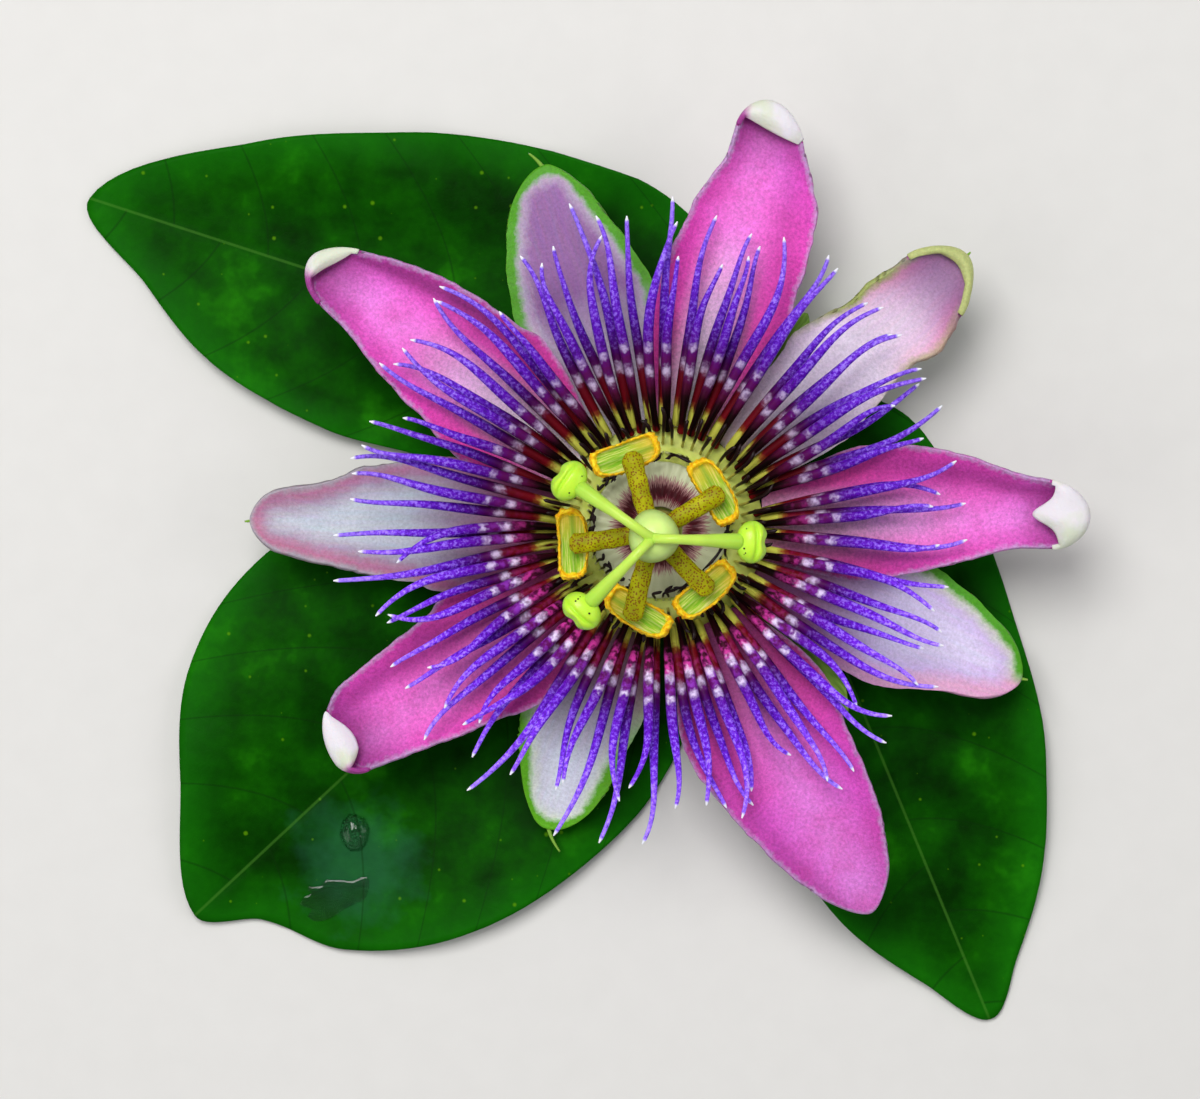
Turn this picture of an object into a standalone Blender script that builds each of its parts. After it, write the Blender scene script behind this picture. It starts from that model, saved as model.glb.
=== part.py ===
"""Passion flower, cut with a short piece of its vine and one three-lobed leaf, lying flower up on the leaf.

Lengths below are in millimetres and angles in degrees. The flower's own axis is x = y = 0, the ground is
z = 0, and each sepal, petal, bract and stamen is drawn along +X and then turned about that axis."""

import math
import random

import bmesh
import bpy
from mathutils import Matrix, Vector

MM = 0.001
GAP = 0.3

# Leaf: its outline is polar about the point where the three main veins meet.
LEAF_THICKNESS = 0.45
LEAF_CENTRE = (10.6, 16.0)
LEAF_FLAT_SHARE = 0.5
LEAF_WAVE = 2.6
LEAF_WAVES = 11
LEAF_OUTLINE = [
    (3, 18.8), (14, 5.5), (30, 2.4), (54, 2.4), (80, 7.5), (104, 26.5), (123, 39.2), (141, 57.6), (151, 71.8),
    (162, 89.8), (168, 79.5), (175, 69.5), (183, 54.0), (190, 42.0), (197, 65.0), (205, 79.4),
    (214, 88.0), (223, 97.5), (227, 91.8), (234, 88.0), (245, 74.0), (256, 55.0), (266, 36.0),
    (273, 50.0), (281, 68.0), (288, 79.5), (292.5, 86.9), (297, 81.0), (304, 71.5), (312, 59.8),
    (325, 43.3), (345, 28.6),
]

# Vine, petiole and peduncle lie along the direction of the upper right sepal, below it.
STEM_BEARING = 42.0
VINE_ALONG = 36.5
VINE_ENDS = (-5.6, 5.4)
VINE_RADIUS = 1.6
NODE_RADIUS = 2.0
NODE_SPREAD = 1.6
VINE_HEIGHT = 2.05
PETIOLE_RADIUS = 1.0
PEDUNCLE_RADIUS = 1.2
PEDUNCLE_HEIGHT = 2.0

# Flower cup, and the five rows that stand on its top, from the outside in.
CUP_RIM_RADIUS = 13.4
CUP_DISH_RADIUS = 8.8
CUP_BOTTOM = 5.8
CUP_TOP = 14.2
DISH_FLOOR = 12.4
BLADE_BASE = (13.8, 4.5, 4.5)
SEPAL_BASE = (13.8, 12.2)
PETAL_BASE = (13.8, 13.75)
SEPAL_THICKNESS = 1.0
PETAL_THICKNESS = 0.8
BRACT_THICKNESS = 0.5

# Column in the middle, which leans a little, and what it carries.
LEAN = (-0.0545, -0.052)
LEAN_FROM = 14.0
COLUMN_TOP = 26.8
OVARY_RADIUS = 3.0
OVARY_HALF_HEIGHT = 3.7
OVARY_HEIGHT = 31.0
STAMEN_HEIGHT = 26.1
STAMEN_START = 2.6
STAMEN_REACH = 9.5
ANTHER_HEIGHT = 24.0
ANTHER_SIZE = (4.5, 1.85, 1.0)
STIGMA_SIZE = (1.75, 2.7, 1.6)
STIGMA_REACH = 12.5
STIGMA_HEIGHT = 32.7

# Sepals: bearing, outline (distance out, half width left, half width right), tip, heights, cup, hood.
SEPALS = [
    (107.3, [BLADE_BASE, (25, 8.6, 7.9), (31, 9.7, 8.6), (37, 8.9, 7.1), (43, 7.0, 4.9)],
     49.3, [SEPAL_BASE, (32, 12.0), (49, 10.6)], (34, 0.8), 0.0),
    (41.7, [BLADE_BASE, (25, 6.2, 7.2), (31, 7.2, 6.6), (38, 5.4, 5.8), (42, 5.6, 6.7), (47, 4.7, 5.4)],
     52.5, [SEPAL_BASE, (32, 12.4), (52, 13.2)], (30, 1.8), 1.2),
    (337.5, [BLADE_BASE, (25, 8.3, 7.0), (33, 9.2, 7.7), (40, 7.9, 5.6), (46, 5.4, 4.2)],
     50.6, [SEPAL_BASE, (32, 11.6), (50, 10.2)], (37, 0.9), 0.0),
    (249.0, [BLADE_BASE, (22, 6.8, 8.0), (28, 6.4, 8.2), (34, 5.8, 6.1)],
     41.5, [SEPAL_BASE, (20, 11.7), (30, 9.4), (41, 5.4)], (28, 0.8), 0.0),
    (178.6, [BLADE_BASE, (25, 8.5, 8.6), (31, 7.7, 8.4), (38, 6.5, 7.0), (43, 5.4, 5.0), (48, 4.2, 4.2)],
     52.7, [SEPAL_BASE, (32, 11.8), (52, 11.0)], (30, 1.2), 0.0),
]
PETALS = [
    (75.3, [BLADE_BASE, (25, 8.3, 8.6), (35, 7.5, 9.5), (43, 5.8, 9.3), (48, 3.8, 7.4), (52.5, 3.5, 5.0)],
     56.2, [PETAL_BASE, (32, 15.2), (56, 15.4)], (24, 1.8), 1.3),
    (2.0, [BLADE_BASE, (25, 9.6, 7.3), (33, 9.4, 6.4), (40, 7.8, 5.0), (45, 5.7, 3.9), (50, 4.4, 4.1)],
     54.6, [PETAL_BASE, (32, 15.4), (54, 15.0)], (24, 1.9), 1.5),
    (299.0, [BLADE_BASE, (25, 9.3, 10.6), (35, 8.6, 9.9), (45, 7.3, 7.3), (50, 5.6, 5.2)],
     56.1, [PETAL_BASE, (32, 15.0), (56, 13.4)], (24, 1.3), 0.0),
    (215.8, [BLADE_BASE, (25, 9.0, 9.2), (32, 7.3, 8.4), (40, 5.3, 8.0), (46, 3.6, 7.2), (48, 3.1, 6.0)],
     50.8, [PETAL_BASE, (32, 15.0), (50, 13.2)], (24, 1.6), 1.4),
    (142.1, [BLADE_BASE, (25, 8.5, 9.7), (33, 7.2, 9.4), (40, 6.2, 8.7), (47, 4.4, 6.7), (52, 3.8, 4.5)],
     56.2, [PETAL_BASE, (32, 15.0), (56, 14.2)], (24, 1.6), 1.2),
]
BRACT_OUTLINE = [(2.3, 1.1, 1.1), (8, 4.6, 4.6), (17, 7.6, 7.6), (25, 6.0, 6.0), (30, 3.2, 3.2)]
BRACT_TIP = 34.0
BRACT_HEIGHTS = [(2.3, 4.95), (6, 5.2), (13, 7.4), (22, 8.6), (34, 9.4)]
BRACT_BEARINGS = (55.5, 186.0, 316.0)
AWN_LENGTHS = (3.2, 1.6, 1.4, 3.4, 1.2)

# Stamens: bearing of each stalk, place of its anther's middle, and the way the anther points.
STAMENS = [
    (107.5, (-4.3, 9.1), 20.0),
    (34.0, (6.9, 4.9), 120.0),
    (-45.5, (5.75, -7.75), 41.0),
    (254.0, (-2.9, -10.5), -32.0),
    (185.5, (-10.9, -1.8), 93.0),
]
STYLE_BEARINGS = (145.0, 358.0, 226.0)


def rgb(code):
    """The linear colour of a six-digit sRGB hex code."""
    parts = [int(code[i:i + 2], 16) / 255 for i in (0, 2, 4)]
    return [part / 12.92 if part <= 0.04045 else ((part + 0.055) / 1.055) ** 2.4 for part in parts]


def finish(name, code, roughness=0.5):
    """The plain material of one part."""
    material = bpy.data.materials.new(name)
    material.use_nodes = True
    shader = material.node_tree.nodes["Principled BSDF"]
    shader.inputs["Base Color"].default_value = (*rgb(code), 1.0)
    shader.inputs["Roughness"].default_value = roughness
    shader.inputs["Metallic"].default_value = 0.0
    return material


def along(points, where, column):
    """Smooth value of one column of a list of points, at a distance out; held constant past both ends."""
    if where <= points[0][0]:
        return points[0][column]
    if where >= points[-1][0]:
        return points[-1][column]
    k = max(i for i in range(len(points) - 1) if points[i][0] <= where)
    x0, x1 = points[k][0], points[k + 1][0]
    y0, y1 = points[k][column], points[k + 1][column]
    before = points[max(k - 1, 0)]
    after = points[min(k + 2, len(points) - 1)]
    slope0 = (y1 - before[column]) / (x1 - before[0])
    slope1 = (after[column] - y0) / (after[0] - x0)
    span = x1 - x0
    f = (where - x0) / span
    return (
        y0 * (2 * f**3 - 3 * f**2 + 1)
        + slope0 * span * (f**3 - 2 * f**2 + f)
        + y1 * (3 * f**2 - 2 * f**3)
        + slope1 * span * (f**3 - f**2)
    )


def ramp(value, start, end):
    """0 before start, 1 after end, and smooth between."""
    f = min(max((value - start) / (end - start), 0.0), 1.0)
    return f * f * (3 - 2 * f)


def lean_at(height):
    """How far the leaning column has moved sideways at a height."""
    above = max(height - LEAN_FROM, 0.0)
    return LEAN[0] * above, LEAN[1] * above


def new_collection(name):
    """A collection linked to the scene."""
    collection = bpy.data.collections.new(name)
    bpy.context.scene.collection.children.link(collection)
    return collection


def clear_scene():
    """Removes whatever the scene holds before the flower is built."""
    for obj in list(bpy.data.objects):
        bpy.data.objects.remove(obj, do_unlink=True)


clear_scene()
FLOWER = new_collection("passion_flower")
HELPERS = new_collection("helpers")
ROOT = bpy.data.objects.new("flower_axis", None)
FLOWER.objects.link(ROOT)


def add_part(name, data, material, bearing=0.0, location=(0.0, 0.0, 0.0)):
    """One part of the flower, turned about the vertical and put in place."""
    if not data.materials:
        data.materials.append(material)
    part = bpy.data.objects.new(name, data)
    FLOWER.objects.link(part)
    part.parent = ROOT
    part.location = Vector(location) * MM
    part.rotation_euler.z = math.radians(bearing)
    return part


def face_out(bm):
    """Turns the faces of a closed shape outwards."""
    bm.normal_update()
    bmesh.ops.recalc_face_normals(bm, faces=bm.faces)


def to_mesh(bm, name, smooth=True):
    """The finished mesh of a bmesh, whose points are in millimetres until here."""
    bmesh.ops.scale(bm, vec=(MM, MM, MM), verts=bm.verts)
    mesh = bpy.data.meshes.new(name)
    bm.to_mesh(mesh)
    bm.free()
    if smooth:
        mesh.shade_smooth()
        mesh.set_sharp_from_angle(angle=math.radians(50))
    return mesh


def mapped_grid(long_steps, cross_steps, place):
    """A flat grid with each point moved to place(t, s): t is 0 to 1 along, s is -1 to 1 across."""
    bm = bmesh.new()
    bmesh.ops.create_grid(bm, x_segments=long_steps, y_segments=cross_steps, size=1.0)
    for vert in bm.verts:
        vert.co = place((vert.co.x + 1) / 2, vert.co.y)
    return bm


def thicken(part, thickness):
    """Gives an open surface a wall, half to each side."""
    shell = part.modifiers.new("Thickness", "SOLIDIFY")
    shell.thickness = thickness * MM
    shell.offset = 0.0
    return shell


def blade_point(outline, tip, heights, cup, hood, t, s):
    """A point of a blade: its end is rounded, its edges rise past cup[0] and its tip turns up by hood."""
    body_share = 0.86 if hood else 1.0
    side = math.sin(s * math.pi / 2)
    round_end = tip - hood - outline[-1][0]
    end = tip - hood - round_end * (1 - math.sqrt(max(1 - side * side, 0.0)))
    out = outline[0][0] + (end - outline[0][0]) * min(t / body_share, 1.0)
    half = along(outline, out, 1 if side >= 0 else 2)
    across = side * half
    height = along(heights, out, 1)
    height += cup[1] * abs(side) ** 2.2 * ramp(out, cup[0], cup[0] + 12)
    if hood and t > body_share:
        turn = math.radians(105) * (t - body_share) / (1 - body_share)
        level = hood * math.cos(s * math.pi / 2) + 0.05
        push = Vector((half * math.cos(s * math.pi / 2), round_end * side)).normalized()
        out += push.x * level * math.sin(turn)
        across += push.y * level * math.sin(turn)
        height += level * 1.5 * (1 - math.cos(turn))
    return Vector((out, across, height))


def make_blade(name, material, blade, thickness, long_steps=11, cross_steps=6):
    """One sepal, petal or bract: a grid laid on its surface and given a wall."""
    bearing, outline, tip, heights, cup, hood = blade

    def place(t, s):
        return blade_point(outline, tip, heights, cup, hood, t, s)

    bm = mapped_grid(long_steps, cross_steps, place)
    part = add_part(name, to_mesh(bm, name), material, bearing)
    thicken(part, thickness)
    return part


def make_awn(sepal, number, tip, heights, length):
    """The small green hook behind a sepal's tip, joined to the sepal."""
    bm = bmesh.new()
    root = 2.0
    bmesh.ops.create_cone(bm, cap_ends=True, segments=6, radius1=0.42, radius2=0.12, depth=length + root)
    tip_height = along(heights, tip, 1)
    for vert in bm.verts:
        out = vert.co.z + (length + root) / 2
        bend = (max(out - root, 0.0) / length) ** 2
        vert.co = Vector((tip - root + out, vert.co.y + 0.9 * bend, tip_height + vert.co.x - 0.25))
    face_out(bm)
    mesh = to_mesh(bm, f"awn_{number}")
    awn = bpy.data.objects.new(f"awn_{number}", mesh)
    HELPERS.objects.link(awn)
    awn.parent = ROOT
    awn.rotation_euler.z = sepal.rotation_euler.z
    awn.hide_render = True
    awn.display_type = "WIRE"
    join = sepal.modifiers.new("Awn", "BOOLEAN")
    join.operation = "UNION"
    join.object = awn


def leaf_radius(angle):
    """Distance from the middle of the leaf to its edge, in a direction."""
    turned = [(a - 360, r) for a, r in LEAF_OUTLINE[-2:]]
    turned += LEAF_OUTLINE
    turned += [(a + 360, r) for a, r in LEAF_OUTLINE[:2]]
    return along(turned, angle % 360, 1)


def leaf_height(share, radius, angle):
    """The leaf is flat under the flower, and its edge waves up and back down to the ground."""
    lift = ramp(share, LEAF_FLAT_SHARE, 1.05) * ramp(radius, 25, 45)
    wave = 0.5 - 0.5 * math.cos(math.radians(angle * LEAF_WAVES))
    return LEAF_WAVE * lift * wave


def leaf_angle(t):
    """Direction of a share of the way round the leaf, spread so that every named point of its edge is met."""
    knots = [angle for angle, radius in LEAF_OUTLINE]
    knots.append(knots[0] + 360)
    i = min(int(t * len(LEAF_OUTLINE) + 1e-6), len(LEAF_OUTLINE) - 1)
    return knots[i] + (knots[i + 1] - knots[i]) * (t * len(LEAF_OUTLINE) - i)


def make_leaf():
    def place(t, s):
        share = (s + 1) / 2
        angle = leaf_angle(t)
        radius = leaf_radius(angle) * share
        x = LEAF_CENTRE[0] + radius * math.cos(math.radians(angle))
        y = LEAF_CENTRE[1] + radius * math.sin(math.radians(angle))
        return Vector((x, y, leaf_height(share, radius, angle)))

    bm = mapped_grid(2 * len(LEAF_OUTLINE), 6, place)
    bmesh.ops.remove_doubles(bm, verts=bm.verts, dist=1e-4)
    face_out(bm)
    part = add_part("leaf", to_mesh(bm, "leaf"), finish("leaf_green", "1A6408", 0.4))
    shell = thicken(part, LEAF_THICKNESS)
    top_up = part.data.polygons[0].normal.z > 0
    shell.offset = 1.0 if top_up else -1.0


def make_tube(name, material, points, radius, bearing=0.0, radii=None, location=(0, 0, 0)):
    """A round stem along a list of points, with capped ends."""
    curve = bpy.data.curves.new(name, "CURVE")
    curve.dimensions = "3D"
    curve.bevel_depth = radius * MM
    curve.bevel_resolution = 2
    curve.use_fill_caps = True
    spline = curve.splines.new("POLY")
    spline.points.add(len(points) - 1)
    for i, point in enumerate(points):
        spline.points[i].co = (*(Vector(point) * MM), 1.0)
        if radii:
            spline.points[i].radius = radii[i]
    spline.use_smooth = True
    return add_part(name, curve, material, bearing, location)


def smooth_route(points, steps):
    """Points along one smooth curve through a few route points."""
    count = len(points) - 1
    columns = [[(i, point[axis]) for i, point in enumerate(points)] for axis in range(3)]
    route = []
    for i in range(steps + 1):
        where = count * i / steps
        route.append([along(column, where, 1) for column in columns])
    return route


def make_stems():
    green = finish("stem_green", "4C7A2A")
    vine = []
    swell = []
    steps = 10
    for i in range(steps + 1):
        across = VINE_ENDS[0] + (VINE_ENDS[1] - VINE_ENDS[0]) * i / steps
        vine.append((VINE_ALONG, across, VINE_HEIGHT))
        swell.append(1 + (NODE_RADIUS / VINE_RADIUS - 1) * math.exp(-((across - 0.3) / NODE_SPREAD) ** 2))
    make_tube("vine_stem", green, vine, VINE_RADIUS, STEM_BEARING, swell)
    petiole = [(22.1, 4.3, 1.15), (25, 3.7, 1.1), (30, 2.7, 1.6), (34.4, 2.1, 1.9)]
    make_tube("petiole", green, smooth_route(petiole, 7), PETIOLE_RADIUS, STEM_BEARING)
    end = VINE_ALONG - NODE_RADIUS - GAP
    peduncle = [
        (0, 0, CUP_BOTTOM - GAP), (0.1, 0, 4.3), (0.9, 0, 2.8), (2.6, -0.05, 2.1), (8, -0.2, PEDUNCLE_HEIGHT),
        (17, -0.6, PEDUNCLE_HEIGHT), (26, -0.9, PEDUNCLE_HEIGHT), (end, -1.0, PEDUNCLE_HEIGHT),
    ]
    make_tube("peduncle", green, smooth_route(peduncle, 20), PEDUNCLE_RADIUS, STEM_BEARING)


def make_turned(name, material, profile, steps, location=(0, 0, 0)):
    """A profile of (radius, height), from the top of its outer side down, turned about the vertical."""
    mesh = bpy.data.meshes.new(name)
    bm = bmesh.new()
    corners = [bm.verts.new((radius * MM, 0, height * MM)) for radius, height in profile]
    for first, second in zip(corners, corners[1:]):
        bm.edges.new((first, second))
    if profile[0][0] > 0 and profile[-1][0] > 0:
        bm.edges.new((corners[-1], corners[0]))
    bm.to_mesh(mesh)
    bm.free()
    part = add_part(name, mesh, material, location=location)
    turn = part.modifiers.new("Turn", "SCREW")
    turn.steps = steps
    turn.render_steps = steps
    turn.use_merge_vertices = True
    turn.merge_threshold = 1e-5
    turn.use_smooth_shade = True
    return part


def make_cup():
    profile = [
        (0, DISH_FLOOR), (CUP_DISH_RADIUS - 0.6, DISH_FLOOR), (CUP_DISH_RADIUS, DISH_FLOOR + 0.6),
        (CUP_DISH_RADIUS, CUP_TOP), (CUP_RIM_RADIUS, CUP_TOP), (CUP_RIM_RADIUS, 11.4), (12.2, 9.4),
        (9.6, 7.4), (6.2, 6.2), (2.5, CUP_BOTTOM), (0, CUP_BOTTOM),
    ]
    make_turned("flower_cup", finish("cup_green", "93A548"), profile, 32)


def make_operculum():
    profile = [(8.4, 13.3), (8.4, 12.75), (5.5, 13.5), (3.1, 12.75), (3.1, 13.5), (5.6, 14.3)]
    make_turned("operculum", finish("operculum_maroon", "6A1F2C"), profile, 28)


def make_fringe(name, material, ring, count, path, width, spread, seed):
    """A ring with a row of threads drawn out of it. ring is (inner radius, foot height, wall); path holds
    (distance out, height) for each step of a thread; width is its half width at the same steps."""
    draw = random.Random(seed)
    ring_radius, ring_height, wall = ring
    bm = bmesh.new()
    corners = [
        bm.verts.new((ring_radius, 0, ring_height + wall)),
        bm.verts.new((ring_radius + wall, 0, ring_height)),
        bm.verts.new((ring_radius, 0, ring_height)),
    ]
    for i in range(3):
        bm.edges.new((corners[i], corners[(i + 1) % 3]))
    half_step = Matrix.Rotation(math.radians(-90 / count), 3, "Z")
    bmesh.ops.rotate(bm, verts=bm.verts, cent=(0, 0, 0), matrix=half_step)
    bmesh.ops.spin(
        bm, geom=bm.verts[:] + bm.edges[:], cent=(0, 0, 0), axis=(0, 0, 1), dvec=(0, 0, 0),
        angle=math.radians(360), steps=2 * count, use_merge=True,
    )
    face_out(bm)
    faces = {}
    for face in bm.faces:
        middle = face.calc_center_median()
        place = round(math.degrees(math.atan2(middle.y, middle.x)) % 360 / (180 / count))
        if face.normal.z > 0.3 and place % 2 == 0:
            faces[place % (2 * count)] = face
    for place in sorted(faces):
        reach = draw.uniform(1 - spread, 1.0)
        sway = draw.uniform(-1.0, 1.0)
        draw_thread(bm, faces[place], math.radians(place * 180 / count), path, width, reach, sway)
    return add_part(name, to_mesh(bm, name), material)


def draw_thread(bm, face, bearing, path, width, reach, sway):
    """Extrudes one face of the ring along its path, with a gentle bend to one side."""
    outward = Vector((math.cos(bearing), math.sin(bearing), 0))
    sideways = Vector((-math.sin(bearing), math.cos(bearing), 0))
    start = face.calc_center_median()
    first_out = start.dot(outward)
    for (out, height), half in zip(path, width):
        made = bmesh.ops.extrude_discrete_faces(bm, faces=[face])
        face = made["faces"][0]
        middle = face.calc_center_median()
        far = first_out + (out - first_out) * reach
        bend = sway * ((far - first_out) / 28) ** 2 if far > first_out else 0.0
        centre = outward * far + sideways * bend + Vector((0, 0, height))
        for vert in face.verts:
            offset = vert.co - middle
            side = half if offset.dot(sideways) > 0 else -half
            lift = half * 0.8 if offset.z > 0 else -half * 0.8
            vert.co = centre + sideways * side + Vector((0, 0, lift))


def make_corona():
    outer_path = [(17.0, 16.9), (25.0, 18.3), (33.0, 18.8), (41.5, 18.7)]
    inner_path = [(14.2, 17.3), (20.0, 19.6), (28.0, 20.6), (38.5, 20.8)]
    long_width = [0.5, 0.62, 0.55, 0.22]
    violet = finish("corona_violet", "5B2A9E")
    make_fringe("outer_corona", violet, (13.3, 14.5, 0.7), 45, outer_path, long_width, 0.16, 3)
    make_fringe("second_corona", violet, (12.1, 14.5, 0.7), 45, inner_path, long_width, 0.16, 8)
    dark = finish("pali_maroon", "2E0A12")
    short_path = [(11.6, 17.2), (14.2, 19.6)]
    make_fringe("short_corona", dark, (10.8, 14.5, 0.6), 40, short_path, [0.3, 0.25], 0.1, 5)
    inmost_path = [(9.9, 17.2)]
    make_fringe("inmost_corona", dark, (9.3, 14.5, 0.5), 30, inmost_path, [0.25], 0.03, 6)


def leaning(part, base_height):
    """Shears a part so that it follows the leaning column."""
    for vert in part.data.vertices:
        shift = lean_at(vert.co.z / MM + base_height)
        vert.co.x += shift[0] * MM
        vert.co.y += shift[1] * MM


def make_column():
    """A lathe profile, turned in the mesh itself, because it then leans."""
    profile = [
        (0, COLUMN_TOP), (1.5, COLUMN_TOP), (1.9, 26.2), (1.6, 24.0), (1.6, 17.0), (2.0, 15.2),
        (2.65, 14.2), (2.5, 12.7), (0, 12.7),
    ]
    bm = bmesh.new()
    corners = [bm.verts.new((radius, 0, height)) for radius, height in profile]
    for first, second in zip(corners, corners[1:]):
        bm.edges.new((first, second))
    bmesh.ops.spin(
        bm, geom=bm.verts[:] + bm.edges[:], cent=(0, 0, 0), axis=(0, 0, 1), dvec=(0, 0, 0),
        angle=math.radians(360), steps=16, use_merge=True,
    )
    bmesh.ops.remove_doubles(bm, verts=bm.verts, dist=1e-4)
    face_out(bm)
    part = add_part("column", to_mesh(bm, "column"), finish("column_green", "A9B23C"))
    leaning(part, 0.0)


def round_mesh(name, segments, rings, shape):
    """A sphere whose unit points are moved by shape."""
    bm = bmesh.new()
    bmesh.ops.create_uvsphere(bm, u_segments=segments, v_segments=rings, radius=1.0)
    for vert in bm.verts:
        vert.co = shape(vert.co.copy())
    face_out(bm)
    return to_mesh(bm, name)


def power(value, exponent):
    """A power that keeps the sign, which squares off a round shape."""
    return math.copysign(abs(value) ** exponent, value)


def make_ovary():
    def shape(point):
        return Vector((point.x * OVARY_RADIUS, point.y * OVARY_RADIUS, point.z * OVARY_HALF_HEIGHT))

    shift = lean_at(OVARY_HEIGHT)
    mesh = round_mesh("ovary", 14, 10, shape)
    add_part("ovary", mesh, finish("ovary_green", "D6EC84"), location=(*shift, OVARY_HEIGHT))


def make_stamens():
    stalk_green = finish("stamen_green", "A79A1C")
    anther_yellow = finish("anther_yellow", "D9B81C")
    length = STAMEN_REACH - STAMEN_START
    bm = bmesh.new()
    bmesh.ops.create_cone(bm, cap_ends=True, segments=12, radius1=1.05, radius2=1.3, depth=length)
    for vert in bm.verts:
        vert.co = Vector((vert.co.z + length / 2 + STAMEN_START, vert.co.y, vert.co.x * 0.62))
    face_out(bm)
    stalk = to_mesh(bm, "stamen_stalk")

    def boat(point):
        length_way = power(point.z, 0.7) * ANTHER_SIZE[0]
        across = power(point.x, 0.8) * ANTHER_SIZE[1]
        height = point.y * ANTHER_SIZE[2]
        return Vector((length_way, across, height))

    anther = round_mesh("anther", 12, 8, boat)
    hub = lean_at(STAMEN_HEIGHT)
    for number, (bearing, middle, pointing) in enumerate(STAMENS, 1):
        add_part(f"stamen_filament_{number}", stalk, stalk_green, bearing, (*hub, STAMEN_HEIGHT))
        add_part(f"anther_{number}", anther, anther_yellow, pointing, (*middle, ANTHER_HEIGHT))


def make_styles():
    green = finish("style_green", "C6E25E")
    route = [(1.0, 0, 35.45), (2.6, 0, 35.9), (5.2, 0, 35.3), (8.2, 0, 34.0), (10.45, 0, 32.9)]
    steps = 6
    path = smooth_route(route, steps)
    radii = [0.9 + 0.35 * (i / steps) ** 2 for i in range(steps + 1)]
    shift = lean_at(36.0)

    def kidney(point):
        notch = 1 - 0.35 * max(point.x, 0.0) * (1 - abs(point.y)) ** 2
        droop = -0.5 * point.y**2
        return Vector((
            point.x * STIGMA_SIZE[0] * notch, point.y * STIGMA_SIZE[1], point.z * STIGMA_SIZE[2] + droop,
        ))

    stigma = round_mesh("stigma", 12, 8, kidney)
    for number, bearing in enumerate(STYLE_BEARINGS, 1):
        make_tube(f"style_{number}", green, path, 0.58, bearing, radii, (*shift, 0))
        far = Vector((math.cos(math.radians(bearing)), math.sin(math.radians(bearing)), 0)) * STIGMA_REACH
        place = (far.x + shift[0], far.y + shift[1], STIGMA_HEIGHT)
        add_part(f"stigma_{number}", stigma, finish("stigma_lime", "CDEB4E"), bearing, place)


def make_flower_leaves():
    sepal_skin = finish("sepal_mauve", "C3A9D2")
    petal_skin = finish("petal_magenta", "DD5CC6")
    bract_skin = finish("bract_green", "7FA838")
    for number, blade in enumerate(SEPALS, 1):
        sepal = make_blade(f"sepal_{number}", sepal_skin, blade, SEPAL_THICKNESS)
        make_awn(sepal, number, blade[2], blade[3], AWN_LENGTHS[number - 1])
    for number, blade in enumerate(PETALS, 1):
        make_blade(f"petal_{number}", petal_skin, blade, PETAL_THICKNESS)
    for number, bearing in enumerate(BRACT_BEARINGS, 1):
        blade = (bearing, BRACT_OUTLINE, BRACT_TIP, BRACT_HEIGHTS, (8, 0.6), 0.0)
        make_blade(f"bract_{number}", bract_skin, blade, BRACT_THICKNESS, 8, 4)


def centre_on_ground():
    """Moves the flower's axis so that the whole object's box is centred over the origin."""
    bpy.context.view_layer.update()
    graph = bpy.context.evaluated_depsgraph_get()
    corners = []
    for part in FLOWER.objects:
        if part.type == "EMPTY":
            continue
        shown = part.evaluated_get(graph)
        mesh = shown.to_mesh()
        corners += [shown.matrix_world @ vert.co for vert in mesh.vertices]
        shown.to_mesh_clear()
    for axis in (0, 1):
        values = [corner[axis] for corner in corners]
        ROOT.location[axis] = -(min(values) + max(values)) / 2


make_leaf()
make_stems()
make_flower_leaves()
make_cup()
make_operculum()
make_corona()
make_column()
make_ovary()
make_stamens()
make_styles()
centre_on_ground()
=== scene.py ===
import math
import random
from functools import partial

import bmesh
import bpy
from mathutils import Matrix, Vector, noise


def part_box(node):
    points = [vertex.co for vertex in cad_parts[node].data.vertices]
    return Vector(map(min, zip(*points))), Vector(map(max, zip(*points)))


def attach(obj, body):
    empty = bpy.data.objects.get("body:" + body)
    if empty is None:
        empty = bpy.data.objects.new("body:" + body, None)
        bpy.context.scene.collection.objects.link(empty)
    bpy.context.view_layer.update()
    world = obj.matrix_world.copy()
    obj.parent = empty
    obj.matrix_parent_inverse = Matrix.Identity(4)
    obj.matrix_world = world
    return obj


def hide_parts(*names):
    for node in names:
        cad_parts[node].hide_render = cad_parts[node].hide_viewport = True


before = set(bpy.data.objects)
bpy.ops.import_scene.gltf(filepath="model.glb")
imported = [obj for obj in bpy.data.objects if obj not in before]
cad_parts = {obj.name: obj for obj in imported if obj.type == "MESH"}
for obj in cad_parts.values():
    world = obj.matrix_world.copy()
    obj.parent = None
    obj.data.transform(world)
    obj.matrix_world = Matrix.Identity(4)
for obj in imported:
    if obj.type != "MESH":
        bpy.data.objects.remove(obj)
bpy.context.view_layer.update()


# ---- Leaf ----
# One blade with three lobes, grown as one piece: a main vein runs from the stalk to each lobe's tip.
# It is thin and tough, glossy on its upper face, and lies flat where the flower rests on it.
# All lengths are in millimetres from the flower's own axis, until a mesh is placed.
MM = 0.001
cup_low, cup_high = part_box("flower_cup")
AXIS = Vector(((cup_low.x + cup_high.x) / 2, (cup_low.y + cup_high.y) / 2, 0))
LEAF_CENTRE = Vector((10.6, 16.0, 0))
LEAF_THICKNESS = 0.38
LEAF_FLAT_SHARE = 0.5
LEAF_WAVE = 2.6
LEAF_WAVES = 11
VEIN_SPACING = 13.0
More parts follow.
